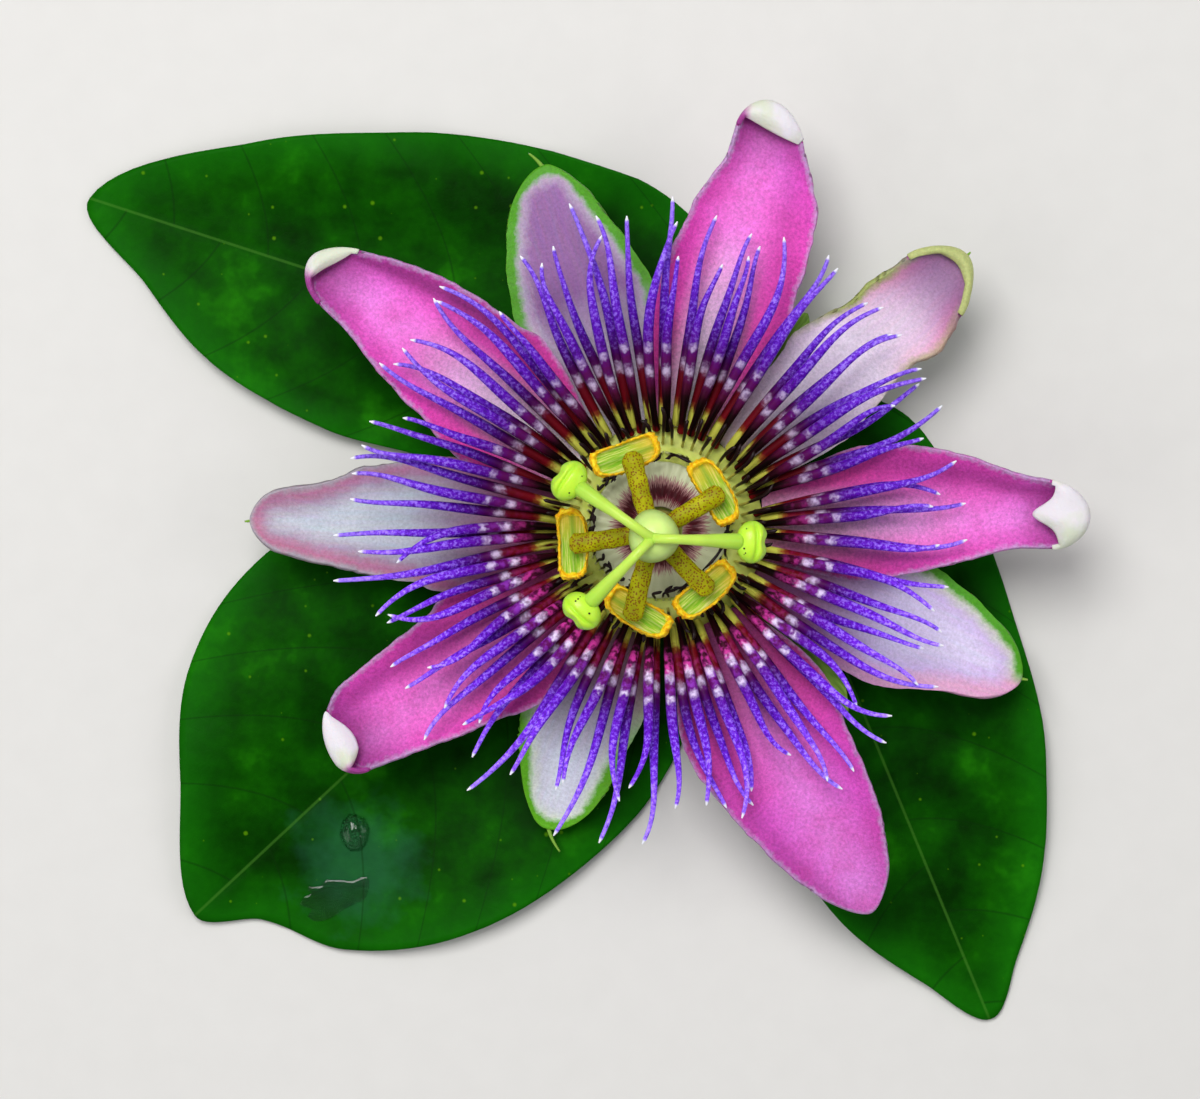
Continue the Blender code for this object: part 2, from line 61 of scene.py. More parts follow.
LEAF_OUTLINE = [
    (3, 18.8), (14, 5.5), (30, 2.4), (54, 2.4), (80, 7.5), (104, 26.5), (123, 39.2), (141, 57.6), (151, 71.8),
    (162, 89.8), (168, 79.5), (175, 69.5), (183, 54.0), (190, 42.0), (197, 65.0), (205, 79.4),
    (214, 88.0), (223, 97.5), (227, 91.8), (234, 88.0), (245, 74.0), (256, 55.0), (266, 36.0),
    (273, 50.0), (281, 68.0), (288, 79.5), (292.5, 86.9), (297, 81.0), (304, 71.5), (312, 59.8),
    (325, 43.3), (345, 28.6),
]
LOBES = [(32.0, 190.0, 162.0), (190.0, 266.0, 223.0), (266.0, 392.0, 292.4)]


def along(points, where, column):
    """Smooth value of one column of a list of points, at a distance out; held constant past both ends."""
    if where <= points[0][0]:
        return points[0][column]
    if where >= points[-1][0]:
        return points[-1][column]
    k = max(i for i in range(len(points) - 1) if points[i][0] <= where)
    x0, x1 = points[k][0], points[k + 1][0]
    y0, y1 = points[k][column], points[k + 1][column]
    before = points[max(k - 1, 0)]
    after = points[min(k + 2, len(points) - 1)]
    slope0 = (y1 - before[column]) / (x1 - before[0])
    slope1 = (after[column] - y0) / (after[0] - x0)
    span = x1 - x0
    f = (where - x0) / span
    return (
        y0 * (2 * f**3 - 3 * f**2 + 1)
        + slope0 * span * (f**3 - 2 * f**2 + f)
        + y1 * (3 * f**2 - 2 * f**3)
        + slope1 * span * (f**3 - f**2)
    )


def ramp(value, start, end):
    """0 before start, 1 after end, and smooth between."""
    f = min(max((value - start) / (end - start), 0.0), 1.0)
    return f * f * (3 - 2 * f)


def linear(code):
    """Linear red, green, blue and alpha of a six-digit sRGB hex code."""
    parts = [int(code[i:i + 2], 16) / 255 for i in (0, 2, 4)]
    return (*(p / 12.92 if p <= 0.04045 else ((p + 0.055) / 1.055) ** 2.4 for p in parts), 1.0)


def socket(sockets, key):
    """A socket by its number, or the first one in use with that name."""
    if isinstance(key, int):
        return sockets[key]
    return next(s for s in sockets if s.name == key and s.enabled)


def feed(tree, node, key, source):
    """Links one of a node's inputs from a socket, or from the output in use of another node."""
    if isinstance(source, bpy.types.Node):
        source = next(s for s in source.outputs if s.enabled)
    tree.links.new(source, socket(node.inputs, key))


def add_node(tree, kind, settings=None, links=None):
    """Adds a node. settings are its own values or its inputs'; links feed its inputs."""
    node = tree.nodes.new(kind if kind.startswith(("Geometry", "Function", "Node")) else "ShaderNode" + kind)
    for key, value in (settings or {}).items():
        if key == "stops":
            stops = node.color_ramp.elements
            while len(stops) < len(value):
                stops.new(0.5)
            for stop, (place, colour) in zip(stops, value):
                stop.position = place
                stop.color = linear(colour) if isinstance(colour, str) else (colour, colour, colour, 1.0)
        elif key == "curve":
            line = node.mapping.curves[0]
            for place, height in value[1:-1]:
                line.points.new(place, height)
            for point, place in zip(line.points, value):
                point.location = place
            node.mapping.update()
        elif isinstance(key, str) and hasattr(node, key):
            setattr(node, key, value)
        else:
            entry = socket(node.inputs, key)
            entry.default_value = linear(value) if entry.type == "RGBA" and isinstance(value, str) else value
    for key, source in (links or {}).items():
        feed(tree, node, key, source)
    return node


def new_material(name, roughness, **extras):
    """A material with its shader set, and the function that adds nodes to it."""
    material = bpy.data.materials.new(name)
    material.use_nodes = True
    shader = material.node_tree.nodes["Principled BSDF"]
    for key, value in {"Roughness": roughness, "Specular_IOR_Level": 0.25, **extras}.items():
        shader.inputs[key.replace("_", " ")].default_value = value
    return material, partial(add_node, material.node_tree)


def dress(material, colour, relief=None, shine=None):
    """Feeds a material's shader its colour and, where they are given, its relief and a varying roughness."""
    tree = material.node_tree
    for key, source in (("Base Color", colour), ("Normal", relief), ("Roughness", shine)):
        if source is not None:
            feed(tree, tree.nodes["Principled BSDF"], key, source)
    return material


def show(name, data):
    """Stands a mesh, light or camera in the scene."""
    thing = bpy.data.objects.new(name, data)
    bpy.context.scene.collection.objects.link(thing)
    return thing


def hand_over(piece, nodes):
    """Fixes a piece to the one body, and hides the CAD nodes that it takes the place of."""
    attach(piece, "root")
    if nodes:
        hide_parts(*nodes)
    return piece


def place_piece(name, bm, materials, nodes, bearing=0.0):
    """Turns a shape in millimetres about the flower's axis, puts it in the frame, and hands it over."""
    turn = Matrix.Rotation(math.radians(bearing), 3, "Z")
    for vert in bm.verts:
        vert.co = AXIS + (turn @ vert.co) * MM
    mesh = bpy.data.meshes.new(name)
    bm.to_mesh(mesh)
    bm.free()
    mesh.shade_smooth()
    for material in materials:
        mesh.materials.append(material)
    return hand_over(show(name, mesh), nodes)


def thicken(piece, thickness, offset=0.0):
    """Gives a sheet its wall."""
    shell = piece.modifiers.new("Thickness", "SOLIDIFY")
    shell.thickness = thickness * MM
    shell.offset = offset
    shell.use_even_offset = False


def leaf_radius(angle):
    """Distance from where the veins meet to the leaf's edge."""
    turned = [(a - 360, r) for a, r in LEAF_OUTLINE[-2:]]
    turned += LEAF_OUTLINE
    turned += [(a + 360, r) for a, r in LEAF_OUTLINE[:2]]
    return along(turned, angle % 360, 1)


def leaf_angle(t):
    """Direction of a share of the way round the leaf, spread so that every named point of its edge is met."""
    knots = [point[0] for point in LEAF_OUTLINE]
    knots.append(knots[0] + 360)
    i = min(int(t * len(LEAF_OUTLINE) + 1e-6), len(LEAF_OUTLINE) - 1)
    return knots[i] + (knots[i + 1] - knots[i]) * (t * len(LEAF_OUTLINE) - i)


def lobe_place(x, y, lobe):
    """Distance along a lobe's main vein and across it, of a point measured from where the veins meet."""
    turn = math.radians(lobe[2])
    return x * math.cos(turn) + y * math.sin(turn), -x * math.sin(turn) + y * math.cos(turn)


def side_vein(down, across):
    """Counts along the side veins, which leave the main vein steeply and arch outwards: whole at a vein."""
    reach = abs(across)
    stagger = 0.5 if across > 0 else 0.0
    return (down - 0.25 * reach - 0.028 * reach**2) / VEIN_SPACING + stagger


def lobe_at(angle):
    """The lobe that a direction falls in."""
    past = angle if angle >= LOBES[0][0] else angle + 360
    return next(lobe for lobe in LOBES if lobe[0] <= past <= lobe[1])


def make_leaf():
    bm = bmesh.new()
    around, outward = 12 * len(LEAF_OUTLINE), 60
    bmesh.ops.create_grid(bm, x_segments=around, y_segments=outward, size=1.0)
    uv = bm.loops.layers.uv.new("veins")
    rim = bm.verts.layers.float.new("rim")
    polar = {}
    for vert in bm.verts:
        angle = leaf_angle((vert.co.x + 1) / 2)
        share = ((vert.co.y + 1) / 2) ** 0.85
        radius = leaf_radius(angle) * share
        radius += 0.5 * noise.noise(Vector((angle * 0.11, 0, 3))) * ramp(share, 0.8, 1.0)
        x = radius * math.cos(math.radians(angle))
        y = radius * math.sin(math.radians(angle))
        polar[vert] = (x, y)
        lift = ramp(share, LEAF_FLAT_SHARE, 1.05) * ramp(radius, 25, 45)
        wave = 0.5 - 0.5 * math.cos(math.radians(angle * LEAF_WAVES))
        lobe = lobe_at(angle)
        down, across = lobe_place(x, y, lobe)
        groove = 0.16 * math.exp(-((across / 0.45) ** 2)) * ramp(down, 0, 6)
        count = side_vein(down, across)
        apart = abs(count - round(count)) * VEIN_SPACING
        groove += 0.09 * math.exp(-((apart / 0.5) ** 2)) * ramp(abs(across), 0, 1.5)
        quilt = 0.1 * math.sin(math.pi * min(apart / 4.0, 1.0) / 2)
        height = LEAF_THICKNESS + 0.24 + LEAF_WAVE * lift * wave - groove + quilt * ramp(share, 0.1, 0.3)
        vert.co = LEAF_CENTRE + Vector((x, y, height))
        vert[rim] = (1 - share) * leaf_radius(angle)
    for face in bm.faces:
        middle_x = sum(polar[v][0] for v in face.verts) / 4
        middle_y = sum(polar[v][1] for v in face.verts) / 4
        angle = math.degrees(math.atan2(middle_y, middle_x)) % 360
        lobe = lobe_at(angle)
        for loop in face.loops:
            down, across = lobe_place(*polar[loop.vert], lobe)
            side = 1 if lobe_place(middle_x, middle_y, lobe)[1] > 0 else -1
            count = side_vein(down, side * max(abs(across), 1e-6))
            loop[uv].uv = (count, across / 10)
    bmesh.ops.remove_doubles(bm, verts=bm.verts, dist=1e-3)
    if sum(face.normal.z for face in bm.faces) < 0:
        bmesh.ops.reverse_faces(bm, faces=bm.faces)
    leaf = place_piece("leaf_blade", bm, [leaf_green], ["leaf"])
    thicken(leaf, LEAF_THICKNESS, -1.0)


# A passion flower leaf is a waxy cuticle over deep green tissue: a soft shine, paler fine veins, blotches of
# lighter green a centimetre across and a few yellow specks. The net of smallest veins is drawn 2 mm wide.
def make_leaf_material():
    material, add = new_material("leaf_waxy_green", 0.5, Specular_IOR_Level=0.02)
    at = add("TexCoord").outputs["Object"]
    veins = add("UVMap", {"uv_map": "veins"})
    split = add("SeparateXYZ", links={0: veins})
    blotch = add("TexNoise", {"Scale": 95.0, "Detail": 4.0, "Roughness": 0.6}, {"Vector": at})
    grain = add("TexNoise", {"Scale": 900.0, "Detail": 3.0}, {"Vector": at})
    tone = add("ValToRGB", {"stops": [
        (0.32, "042A00"), (0.46, "073E00"), (0.58, "0D5000"), (0.72, "1E7404")]}, {"Fac": blotch})
    rim = add("Attribute", {"attribute_name": "rim"})
    near_rim = add("MapRange", {1: 9.0, 2: 0.5, 3: 0.0, 4: 0.55}, {0: rim.outputs["Fac"]})
    specks = add("TexVoronoi", {"voronoi_dimensions": "2D", "Scale": 230.0}, {"Vector": at})
    wide = add("Math", {"operation": "MULTIPLY_ADD", 1: 0.19, 2: -0.09}, {0: specks.outputs["Color"]})
    inside = add("Math", {"operation": "SUBTRACT"}, {0: wide, 1: specks.outputs["Distance"]})
    speck = add("MapRange", {1: 0.0, 2: 0.05, 3: 0.0, 4: 0.6}, {0: inside})
    # A painted reflection on the lower left lobe: where a film of water has spread, the green is greyed as
    # wet sheen.
    patch = add("VectorMath", {"operation": "DISTANCE", 1: AXIS + Vector((-39.5, -43.5, 1.0)) * MM}, {0: at})
    torn = add("TexNoise", {"Scale": 260.0, "Detail": 4.0}, {"Vector": at})
    reach = add("Math", {"operation": "MULTIPLY_ADD", 1: 0.012}, {0: torn, 2: patch.outputs["Value"]})
    painted_wet_sheen = add("MapRange", {1: 0.0155, 2: 0.0095, 3: 0.0, 4: 0.4}, {0: reach})
    # The main vein is a fine pale line about 0.3 mm wide; the side veins are sunk, and painted darker
    # as shade in their grooves.
    away = add("Math", {"operation": "ABSOLUTE"}, {0: split.outputs["Y"]})
    main = add("MapRange", {1: 0.024, 2: 0.01, 3: 0.0, 4: 0.3}, {0: away})
    turn = add("Math", {"operation": "FRACT"}, {0: split.outputs["X"]})
    centred = add("Math", {"operation": "SUBTRACT", 1: 0.5}, {0: turn})
    spread = add("Math", {"operation": "ABSOLUTE"}, {0: centred})
    side = add("MapRange", {1: 0.482, 2: 0.496, 3: 0.0, 4: 0.45}, {0: spread})
    for share, colour in (
        (near_rim, "16700A"), (speck, "5E9A08"), (painted_wet_sheen, "2C6A48"), (side, "0A2E06"), (main, "4E8C2E"),
    ):
        tone = add("Mix", {"data_type": "RGBA", "B": colour}, {"Factor": share, "A": tone})
    net = add("TexVoronoi", {"feature": "DISTANCE_TO_EDGE", "Scale": 620.0}, {"Vector": at})
    net_line = add("MapRange", {1: 0.0, 2: 0.06, 3: 0.0, 4: 1.0}, {0: net})
    lit = add("MapRange", {1: 0.0, 2: 1.0, 3: 0.86, 4: 1.06}, {0: grain})
    tone = add("Mix", {"data_type": "RGBA", "blend_type": "MULTIPLY", "Factor": 1.0}, {"A": tone, "B": lit})
    relief = add("Bump", {"Strength": 0.06, "Distance": 0.0002}, {"Height": net_line})
    fine = add("Bump", {"Strength": 0.12, "Distance": 0.0003}, {"Height": grain, "Normal": relief})
    shine = add("MapRange", {1: 0.3, 2: 0.7, 3: 0.42, 4: 0.55}, {0: blotch})
    return dress(material, tone, fine, shine)


leaf_green = make_leaf_material()
make_leaf()


# ---- Vine, petiole and peduncle ----
# A short cut length of green vine with one node. The leaf's petiole and the flower's peduncle both leave
# that node on the same side, and the peduncle lies on the leaf and turns up into the flower cup.
STEM_BEARING = 42.0
VINE_ALONG = 36.5
VINE_ENDS = (-5.6, 5.4)
VINE_RADIUS = 1.6
NODE_RADIUS = 2.0
VINE_HEIGHT = 2.05
PETIOLE_ROUTE = [(22.1, 4.3, 1.15), (25, 3.7, 1.1), (30, 2.7, 1.6), (34.4, 2.1, 1.9), (35.4, 1.9, 2.0)]
PEDUNCLE_ROUTE = [
    (0, 0, 5.7), (0.1, 0, 4.3), (0.9, 0, 2.8), (2.6, -0.05, 2.1), (8, -0.2, 2.0), (17, -0.6, 2.0),
    (26, -0.9, 2.0), (34.2, -1.0, 2.0), (35.4, -1.0, 2.05),
]


def smooth_route(points, steps):
    """Points along one smooth curve through a few route points."""
    count = len(points) - 1
    columns = [[(i, point[axis]) for i, point in enumerate(points)] for axis in range(3)]
    return [Vector([along(column, count * i / steps, 1) for column in columns]) for i in range(steps + 1)]


def add_tube(bm, path, radii, sides=16, flat=1.0, wobble=0.0, seed=0.0):
    """A round or flattened stem along a path, with domed ends and a little unevenness."""
    rings = []
    last = len(path) - 1
    lift = Vector((0, 0, 1))
    for i, (point, radius) in enumerate(zip(path, radii)):
        ahead = (path[min(i + 1, last)] - path[max(i - 1, 0)]).normalized()
        across = ahead.cross(lift)
        if across.length < 0.2:
            across = ahead.cross(Vector((0, 1, 0)))
        across.normalize()
        up = across.cross(ahead)
        lift = up if abs(ahead.z) > 0.6 else Vector((0, 0, 1))
        ring = []
        for k in range(sides):
            turn = 2 * math.pi * k / sides
            size = radius * (1 + wobble * noise.noise(Vector((point * 1.1) + Vector((turn, seed, 0)))))
            sideways = across * (size * math.cos(turn))
            upwards = up * (size * flat * math.sin(turn))
            ring.append(bm.verts.new(point + sideways + upwards))
        rings.append(ring)
    for lower, upper in zip(rings, rings[1:]):
        for k in range(sides):
            bm.faces.new((lower[k], lower[(k + 1) % sides], upper[(k + 1) % sides], upper[k]))
    for ring, end in ((rings[0], path[0] - path[1]), (rings[-1], path[-1] - path[-2])):
        middle = sum((v.co for v in ring), Vector()) / sides
        dome = middle + end.normalized() * radii[-1] * 0.12
        inner = [bm.verts.new(dome + (v.co - middle) * 0.6) for v in ring]
        for k in range(sides):
            bm.faces.new((ring[k], ring[(k + 1) % sides], inner[(k + 1) % sides], inner[k]))
        bm.faces.new(inner)
    return rings


def face_out(bm):
    """Turns the faces of closed shapes outwards."""
    bm.normal_update()
    bmesh.ops.recalc_face_normals(bm, faces=bm.faces)


# Young vine bark is smooth green skin over fibres, so it shows faint lengthwise lines and a low satin shine.
def make_stem_material():
    material, add = new_material("stem_green_skin", 0.45)
    at = add("TexCoord").outputs["Object"]
    turned = add(
        "Mapping", {"Rotation": (0, 0, math.radians(-STEM_BEARING)), "Scale": (60.0, 900.0, 900.0)},
        {"Vector": at})
    lines = add("TexNoise", {"Scale": 1.0, "Detail": 3.0}, {"Vector": turned})
    tone = add("ValToRGB", {"stops": [
        (0.3, "3C6A1E"), (0.55, "5A8A33"), (0.8, "86A94E")]}, {"Fac": lines})
    relief = add("Bump", {"Strength": 0.3, "Distance": 0.0002}, {"Height": lines})
    return dress(material, tone, relief)


def make_stems():
    skin = make_stem_material()
    steps = 40
    path = []
    radii = []
    for i in range(steps + 1):
        across = VINE_ENDS[0] + (VINE_ENDS[1] - VINE_ENDS[0]) * i / steps
        path.append(Vector((VINE_ALONG, across, VINE_HEIGHT)))
        radii.append(VINE_RADIUS + (NODE_RADIUS - VINE_RADIUS) * math.exp(-((across - 0.3) / 1.6) ** 2))
    bm = bmesh.new()
    add_tube(bm, path, radii, 24, wobble=0.03)
    face_out(bm)
    place_piece("vine_length", bm, [skin], ["vine_stem"], STEM_BEARING)
    for name, node, route, radius in (
        ("leaf_stalk", "petiole", PETIOLE_ROUTE, 1.0), ("flower_stalk", "peduncle", PEDUNCLE_ROUTE, 1.2),
    ):
        bm = bmesh.new()
        path = smooth_route(route, 60)
        radii = [radius * (1 + 0.12 * ramp(i, 48, 60)) for i in range(61)]
        add_tube(bm, path, radii, 18, wobble=0.04)
        face_out(bm)
        place_piece(name, bm, [skin], [node], STEM_BEARING)


make_stems()


# ---- Bracts ----
# Three small leafy bracts grow from the top of the peduncle just under the cup; they are light green and
# ovate with a finely toothed edge, and only their tips show between the petals.
BRACT_OUTLINE = [(2.3, 1.1, 1.1), (8, 4.6, 4.6), (17, 7.6, 7.6), (25, 6.0, 6.0), (30, 3.2, 3.2)]
BRACT_TIP = 34.0
BRACT_HEIGHTS = [(2.3, 4.95), (6, 5.2), (13, 7.4), (22, 8.6), (34, 9.4)]
BRACT_BEARINGS = (55.5, 186.0, 316.0)
BRACT_THICKNESS = 0.3


def blade_point(blade, t, s):
    """A point of a sepal, petal or bract: its place, distance to the margin, hood share and painted shade.

    The body runs out to a rounded end. Where the tip is hooded, the end then curls up and over on a small
    radius and comes back as a lip that ends on the fold line."""
    side = math.sin(s * math.pi / 2)
    outline, tip, heights = blade["outline"], blade["tip"], blade["heights"]
    hood = blade.get("hood")
    radius = hood["radius"] if hood else 0.0
    body, curl = (0.74, 0.88) if hood else (1.0, 1.0)
    last, before = outline[-1], outline[-2]
    round_end = tip - radius - last[0]
    end = tip - radius - round_end * (1 - math.sqrt(max(1 - side * side, 0.0)))
    out = outline[0][0] + (end - outline[0][0]) * min(t / body, 1.0)
    column = 1 if side >= 0 else 2
    half = along(outline, out, column)
    if out > last[0]:
        half += min(last[column] - before[column], 0) / (last[0] - before[0]) * (out - last[0])
    number = blade["bearing"]
    ragged = noise.noise(Vector((out * 0.35, 9.0 * (side > 0), number)))
    ragged += 0.35 * noise.noise(Vector((out * 1.1, 9.0 * (side > 0), number)))
    half *= 1 + blade.get("ragged", 0.03) * ragged * ramp(out, 20, 28)
    across = side * half
    margin = min((1 - abs(side)) * half, end - out)
    start, high = blade["cup"]
    lean = blade.get("fold", {}).get(side > 0, 1.0)
    height = along(heights, out, 1) + lean * high * abs(side) ** 2.2 * ramp(out, start, start + 12)
    roll = noise.noise(Vector((out * 0.09, across * 0.16, number)))
    frill = noise.noise(Vector((out * 0.45, 7.0 * (side > 0), number)))
    height += 0.35 * roll * ramp(out, 18, 30)
    height += blade.get("frill", 0.3) * frill * abs(side) ** 6 * ramp(out, 22, 30)
    # Painted shade, partly the blade's own darker colour: a dark band along one side under a raised or folded
    # edge, and the inside of a hood back from its lip.
    dark_side, dark = blade.get("dark", (0.0, 0.0))
    shade = dark * math.exp(-(((side - dark_side) / 0.2) ** 2)) * ramp(out, 24, 34)
    cap = 0.0
    if hood:
        shade = max(shade, 0.85 * ramp(out, tip - 11, tip - 2.5))
    if hood and t > body:
        level = radius * math.cos(s * math.pi / 2) ** 1.3 + 0.04
        turn = math.radians(150) * min((t - body) / (curl - body), 1.0)
        out += level * math.sin(turn)
        height += level * 1.4 * (1 - math.cos(turn))
        cap = ramp(turn, 0.7, 1.6) * (1 - ramp(side, *hood.get("bare", (1.5, 2.0))))
        shade *= 1 - cap
        margin = 2.0
        if t > curl:
            back = (t - curl) / (1 - curl)
            fold = hood["fold"] + hood["slant"] * side + hood["bow"] * side * side
            fold -= hood.get("nose", 0.0) * math.exp(-(((side - 0.1) / 0.38) ** 2))
            fold = min(fold, out)
            across -= 0.08 * across * back
            height -= (out - fold) * back * 0.22 - 0.6 * level * math.sin(math.pi * back)
            out += (fold - out) * back
            margin = 2.0 * (1 - back) + 0.5
    return Vector((out, across, height)), margin, cap, shade


def make_blade(name, blade, material, node, thickness, long_steps, cross_steps):
    """A petal-like blade, drawn along +X as a mapped grid, given its wall and turned to its bearing."""
    bm = bmesh.new()
    bmesh.ops.create_grid(bm, x_segments=long_steps, y_segments=cross_steps, size=1.0)
    uv = bm.loops.layers.uv.new("blade")
    margin_layer = bm.verts.layers.float.new("margin")
    cap_layer = bm.verts.layers.float.new("cap")
    shade_layer = bm.verts.layers.float.new("shade")
    flat = {}
    for vert in bm.verts:
        t, s = (vert.co.x + 1) / 2, vert.co.y
        vert.co, vert[margin_layer], vert[cap_layer], vert[shade_layer] = blade_point(blade, t, s)
        flat[vert] = (t * (blade["tip"] - blade["outline"][0][0]) / 10, vert.co.y / 10)
    for face in bm.faces:
        for loop in face.loops:
            loop[uv].uv = flat[loop.vert]
    if sum(face.normal.z for face in bm.faces if face.calc_center_median().x < blade["tip"] * 0.7) < 0:
        bmesh.ops.reverse_faces(bm, faces=bm.faces)
    piece = place_piece(name, bm, [material], [node], blade["bearing"])
    thicken(piece, thickness)
    return piece


# Bract tissue is thin and light green, paler than the leaf, with fine veins along it and a matt skin.
def make_bract_material():
    material, add = new_material("bract_pale_green", 0.55)
    place = add("UVMap", {"uv_map": "blade"})
    stretched = add("Mapping", {"Scale": (1.5, 14.0, 1.0)}, {"Vector": place})
    lines = add("TexNoise", {"Scale": 2.0, "Detail": 3.0}, {"Vector": stretched})
    tone = add("ValToRGB", {"stops": [
        (0.3, "5F8F2A"), (0.55, "82AE3C"), (0.8, "A7C860")]}, {"Fac": lines})
    relief = add("Bump", {"Strength": 0.25, "Distance": 0.0002}, {"Height": lines})
    return dress(material, tone, relief)


bract_green = make_bract_material()
for number, bearing in enumerate(BRACT_BEARINGS, 1):
    bract = {
        "bearing": bearing, "outline": BRACT_OUTLINE, "tip": BRACT_TIP, "heights": BRACT_HEIGHTS,
        "cup": (8, 0.6), "frill": 0.25,
    }
    make_blade(
        f"bract_blade_{number}", bract, bract_green, f"bract_{number}", BRACT_THICKNESS, 60,
        24)


# ---- Flower cup ----
# The cup holds everything else: sepals and petals grow from its rim, and the rows of threads stand on its
# flat top round a shallow dish. It is thick, yellow-green inside and plain green below.
CUP_RIM_RADIUS = 13.4
CUP_DISH_RADIUS = 8.8
CUP_BOTTOM = 5.8
CUP_TOP = 14.2
DISH_FLOOR = 12.4


def add_turned(bm, profile, steps, ripple=None):
    """A closed shape turned from (radius, height) points; ripple(angle, radius) lifts its points."""
    corners = [bm.verts.new((radius, 0, height)) for radius, height in profile]
    edges = [bm.edges.new(pair) for pair in zip(corners, corners[1:])]
    if profile[0][0] > 0:
        edges.append(bm.edges.new((corners[-1], corners[0])))
    bmesh.ops.spin(
        bm, geom=corners + edges, cent=(0, 0, 0), axis=(0, 0, 1), dvec=(0, 0, 0),
        angle=math.radians(360), steps=steps, use_merge=True,
    )
    bmesh.ops.remove_doubles(bm, verts=bm.verts, dist=1e-4)
    if ripple:
        for vert in bm.verts:
            vert.co.z += ripple(math.atan2(vert.co.y, vert.co.x), math.hypot(vert.co.x, vert.co.y))
    face_out(bm)


def rounded(points, steps):
    """A smooth profile through a few (radius, height) points."""
    return [(p.x, p.y) for p in smooth_route([(*point, 0) for point in points], steps)]


# Its top is moist yellow-green tissue, faintly lined towards the middle; the outside is a plain green skin.
def make_cup_material():
    material, add = new_material("cup_tissue", 0.4, Subsurface_Weight=0.08, Subsurface_Scale=0.001)
    at = add("TexCoord").outputs["Object"]
    cloud = add("TexNoise", {"Scale": 500.0, "Detail": 3.0}, {"Vector": at})
    split = add("SeparateXYZ", links={0: at})
    up = add("MapRange", {1: 0.0095, 2: 0.0135, 3: 0.0, 4: 1.0}, {0: split.outputs["Z"]})
    top = add("ValToRGB", {"stops": [
        (0.3, "B4C24C"), (0.6, "CED868"), (0.8, "E0E68C")]}, {"Fac": cloud})
    tone = add("Mix", {"data_type": "RGBA", "A": "6E9440"}, {"Factor": up, "B": top})
    relief = add("Bump", {"Strength": 0.25, "Distance": 0.0003}, {"Height": cloud})
    return dress(material, tone, relief)


def make_cup():
    profile = [
        (0, DISH_FLOOR), (CUP_DISH_RADIUS - 0.6, DISH_FLOOR), (CUP_DISH_RADIUS - 0.1, DISH_FLOOR + 0.5),
        (CUP_DISH_RADIUS, CUP_TOP - 0.1), (CUP_DISH_RADIUS + 0.2, CUP_TOP), (CUP_RIM_RADIUS - 0.2, CUP_TOP),
    ]
    profile += rounded([
        (CUP_RIM_RADIUS, CUP_TOP - 0.2), (CUP_RIM_RADIUS, 11.4), (12.2, 9.4), (9.6, 7.4), (6.2, 6.2),
        (2.5, CUP_BOTTOM), (0, CUP_BOTTOM),
    ], 30)
    bm = bmesh.new()
    add_turned(bm, profile, 96)
    place_piece("cup_body", bm, [make_cup_material()], ["flower_cup"])


make_cup()


# ---- Sepals ----
# Five sepals grow from the outside of the rim, under the petals. They are thick and firm, green behind,
# pale inside, and each ends in a short green hook, the awn, just behind its tip.
BLADE_BASE = (13.3, 4.5, 4.5)
SEPAL_BASE = (13.3, 12.2)
SEPAL_THICKNESS = 0.8
SEPALS = [
    {"bearing": 107.3, "tip": 49.3, "cup": (34, 0.8), "awn": (2.2, 0.8),
     "outline": [BLADE_BASE, (25, 8.6, 7.9), (31, 9.7, 8.6), (37, 8.9, 7.1), (43, 7.0, 4.9)],
     "heights": [SEPAL_BASE, (32, 12.0), (49, 10.6)]},
    {"bearing": 41.7, "tip": 52.5, "cup": (30, 1.8), "awn": (1.0, 0.0), "frill": 0.4, "ragged": 0.05,
     "outline": [BLADE_BASE, (25, 6.2, 7.2), (31, 7.2, 6.6), (38, 5.4, 5.8), (42, 5.6, 6.7), (47, 4.7, 5.0)],
     "heights": [SEPAL_BASE, (32, 12.4), (52, 13.2)],
     "hood": {"radius": 0.55, "fold": 51.3, "slant": 0.1, "bow": -1.5}},
    {"bearing": 337.5, "tip": 50.6, "cup": (37, 0.9), "awn": (0.8, 0.2),
     "outline": [BLADE_BASE, (25, 8.3, 7.0), (33, 9.2, 7.7), (40, 7.9, 5.6), (46, 5.4, 4.2)],
     "heights": [SEPAL_BASE, (32, 11.6), (50, 10.2)]},
    {"bearing": 249.0, "tip": 41.5, "cup": (28, 0.8), "awn": (2.6, 1.6),
     "outline": [BLADE_BASE, (22, 6.8, 8.0), (28, 6.4, 8.2), (34, 5.8, 6.1)],
     "heights": [SEPAL_BASE, (20, 11.7), (30, 9.4), (41, 5.4)]},
    {"bearing": 178.6, "tip": 52.7, "cup": (30, 1.2), "awn": (0.6, 0.1), "ragged": 0.05,
     "outline": [BLADE_BASE, (25, 8.5, 8.6), (31, 7.7, 8.4), (38, 6.5, 7.0), (43, 5.4, 5.0), (48, 4.2, 4.2)],
     "heights": [SEPAL_BASE, (32, 11.8), (52, 11.0)]},
]
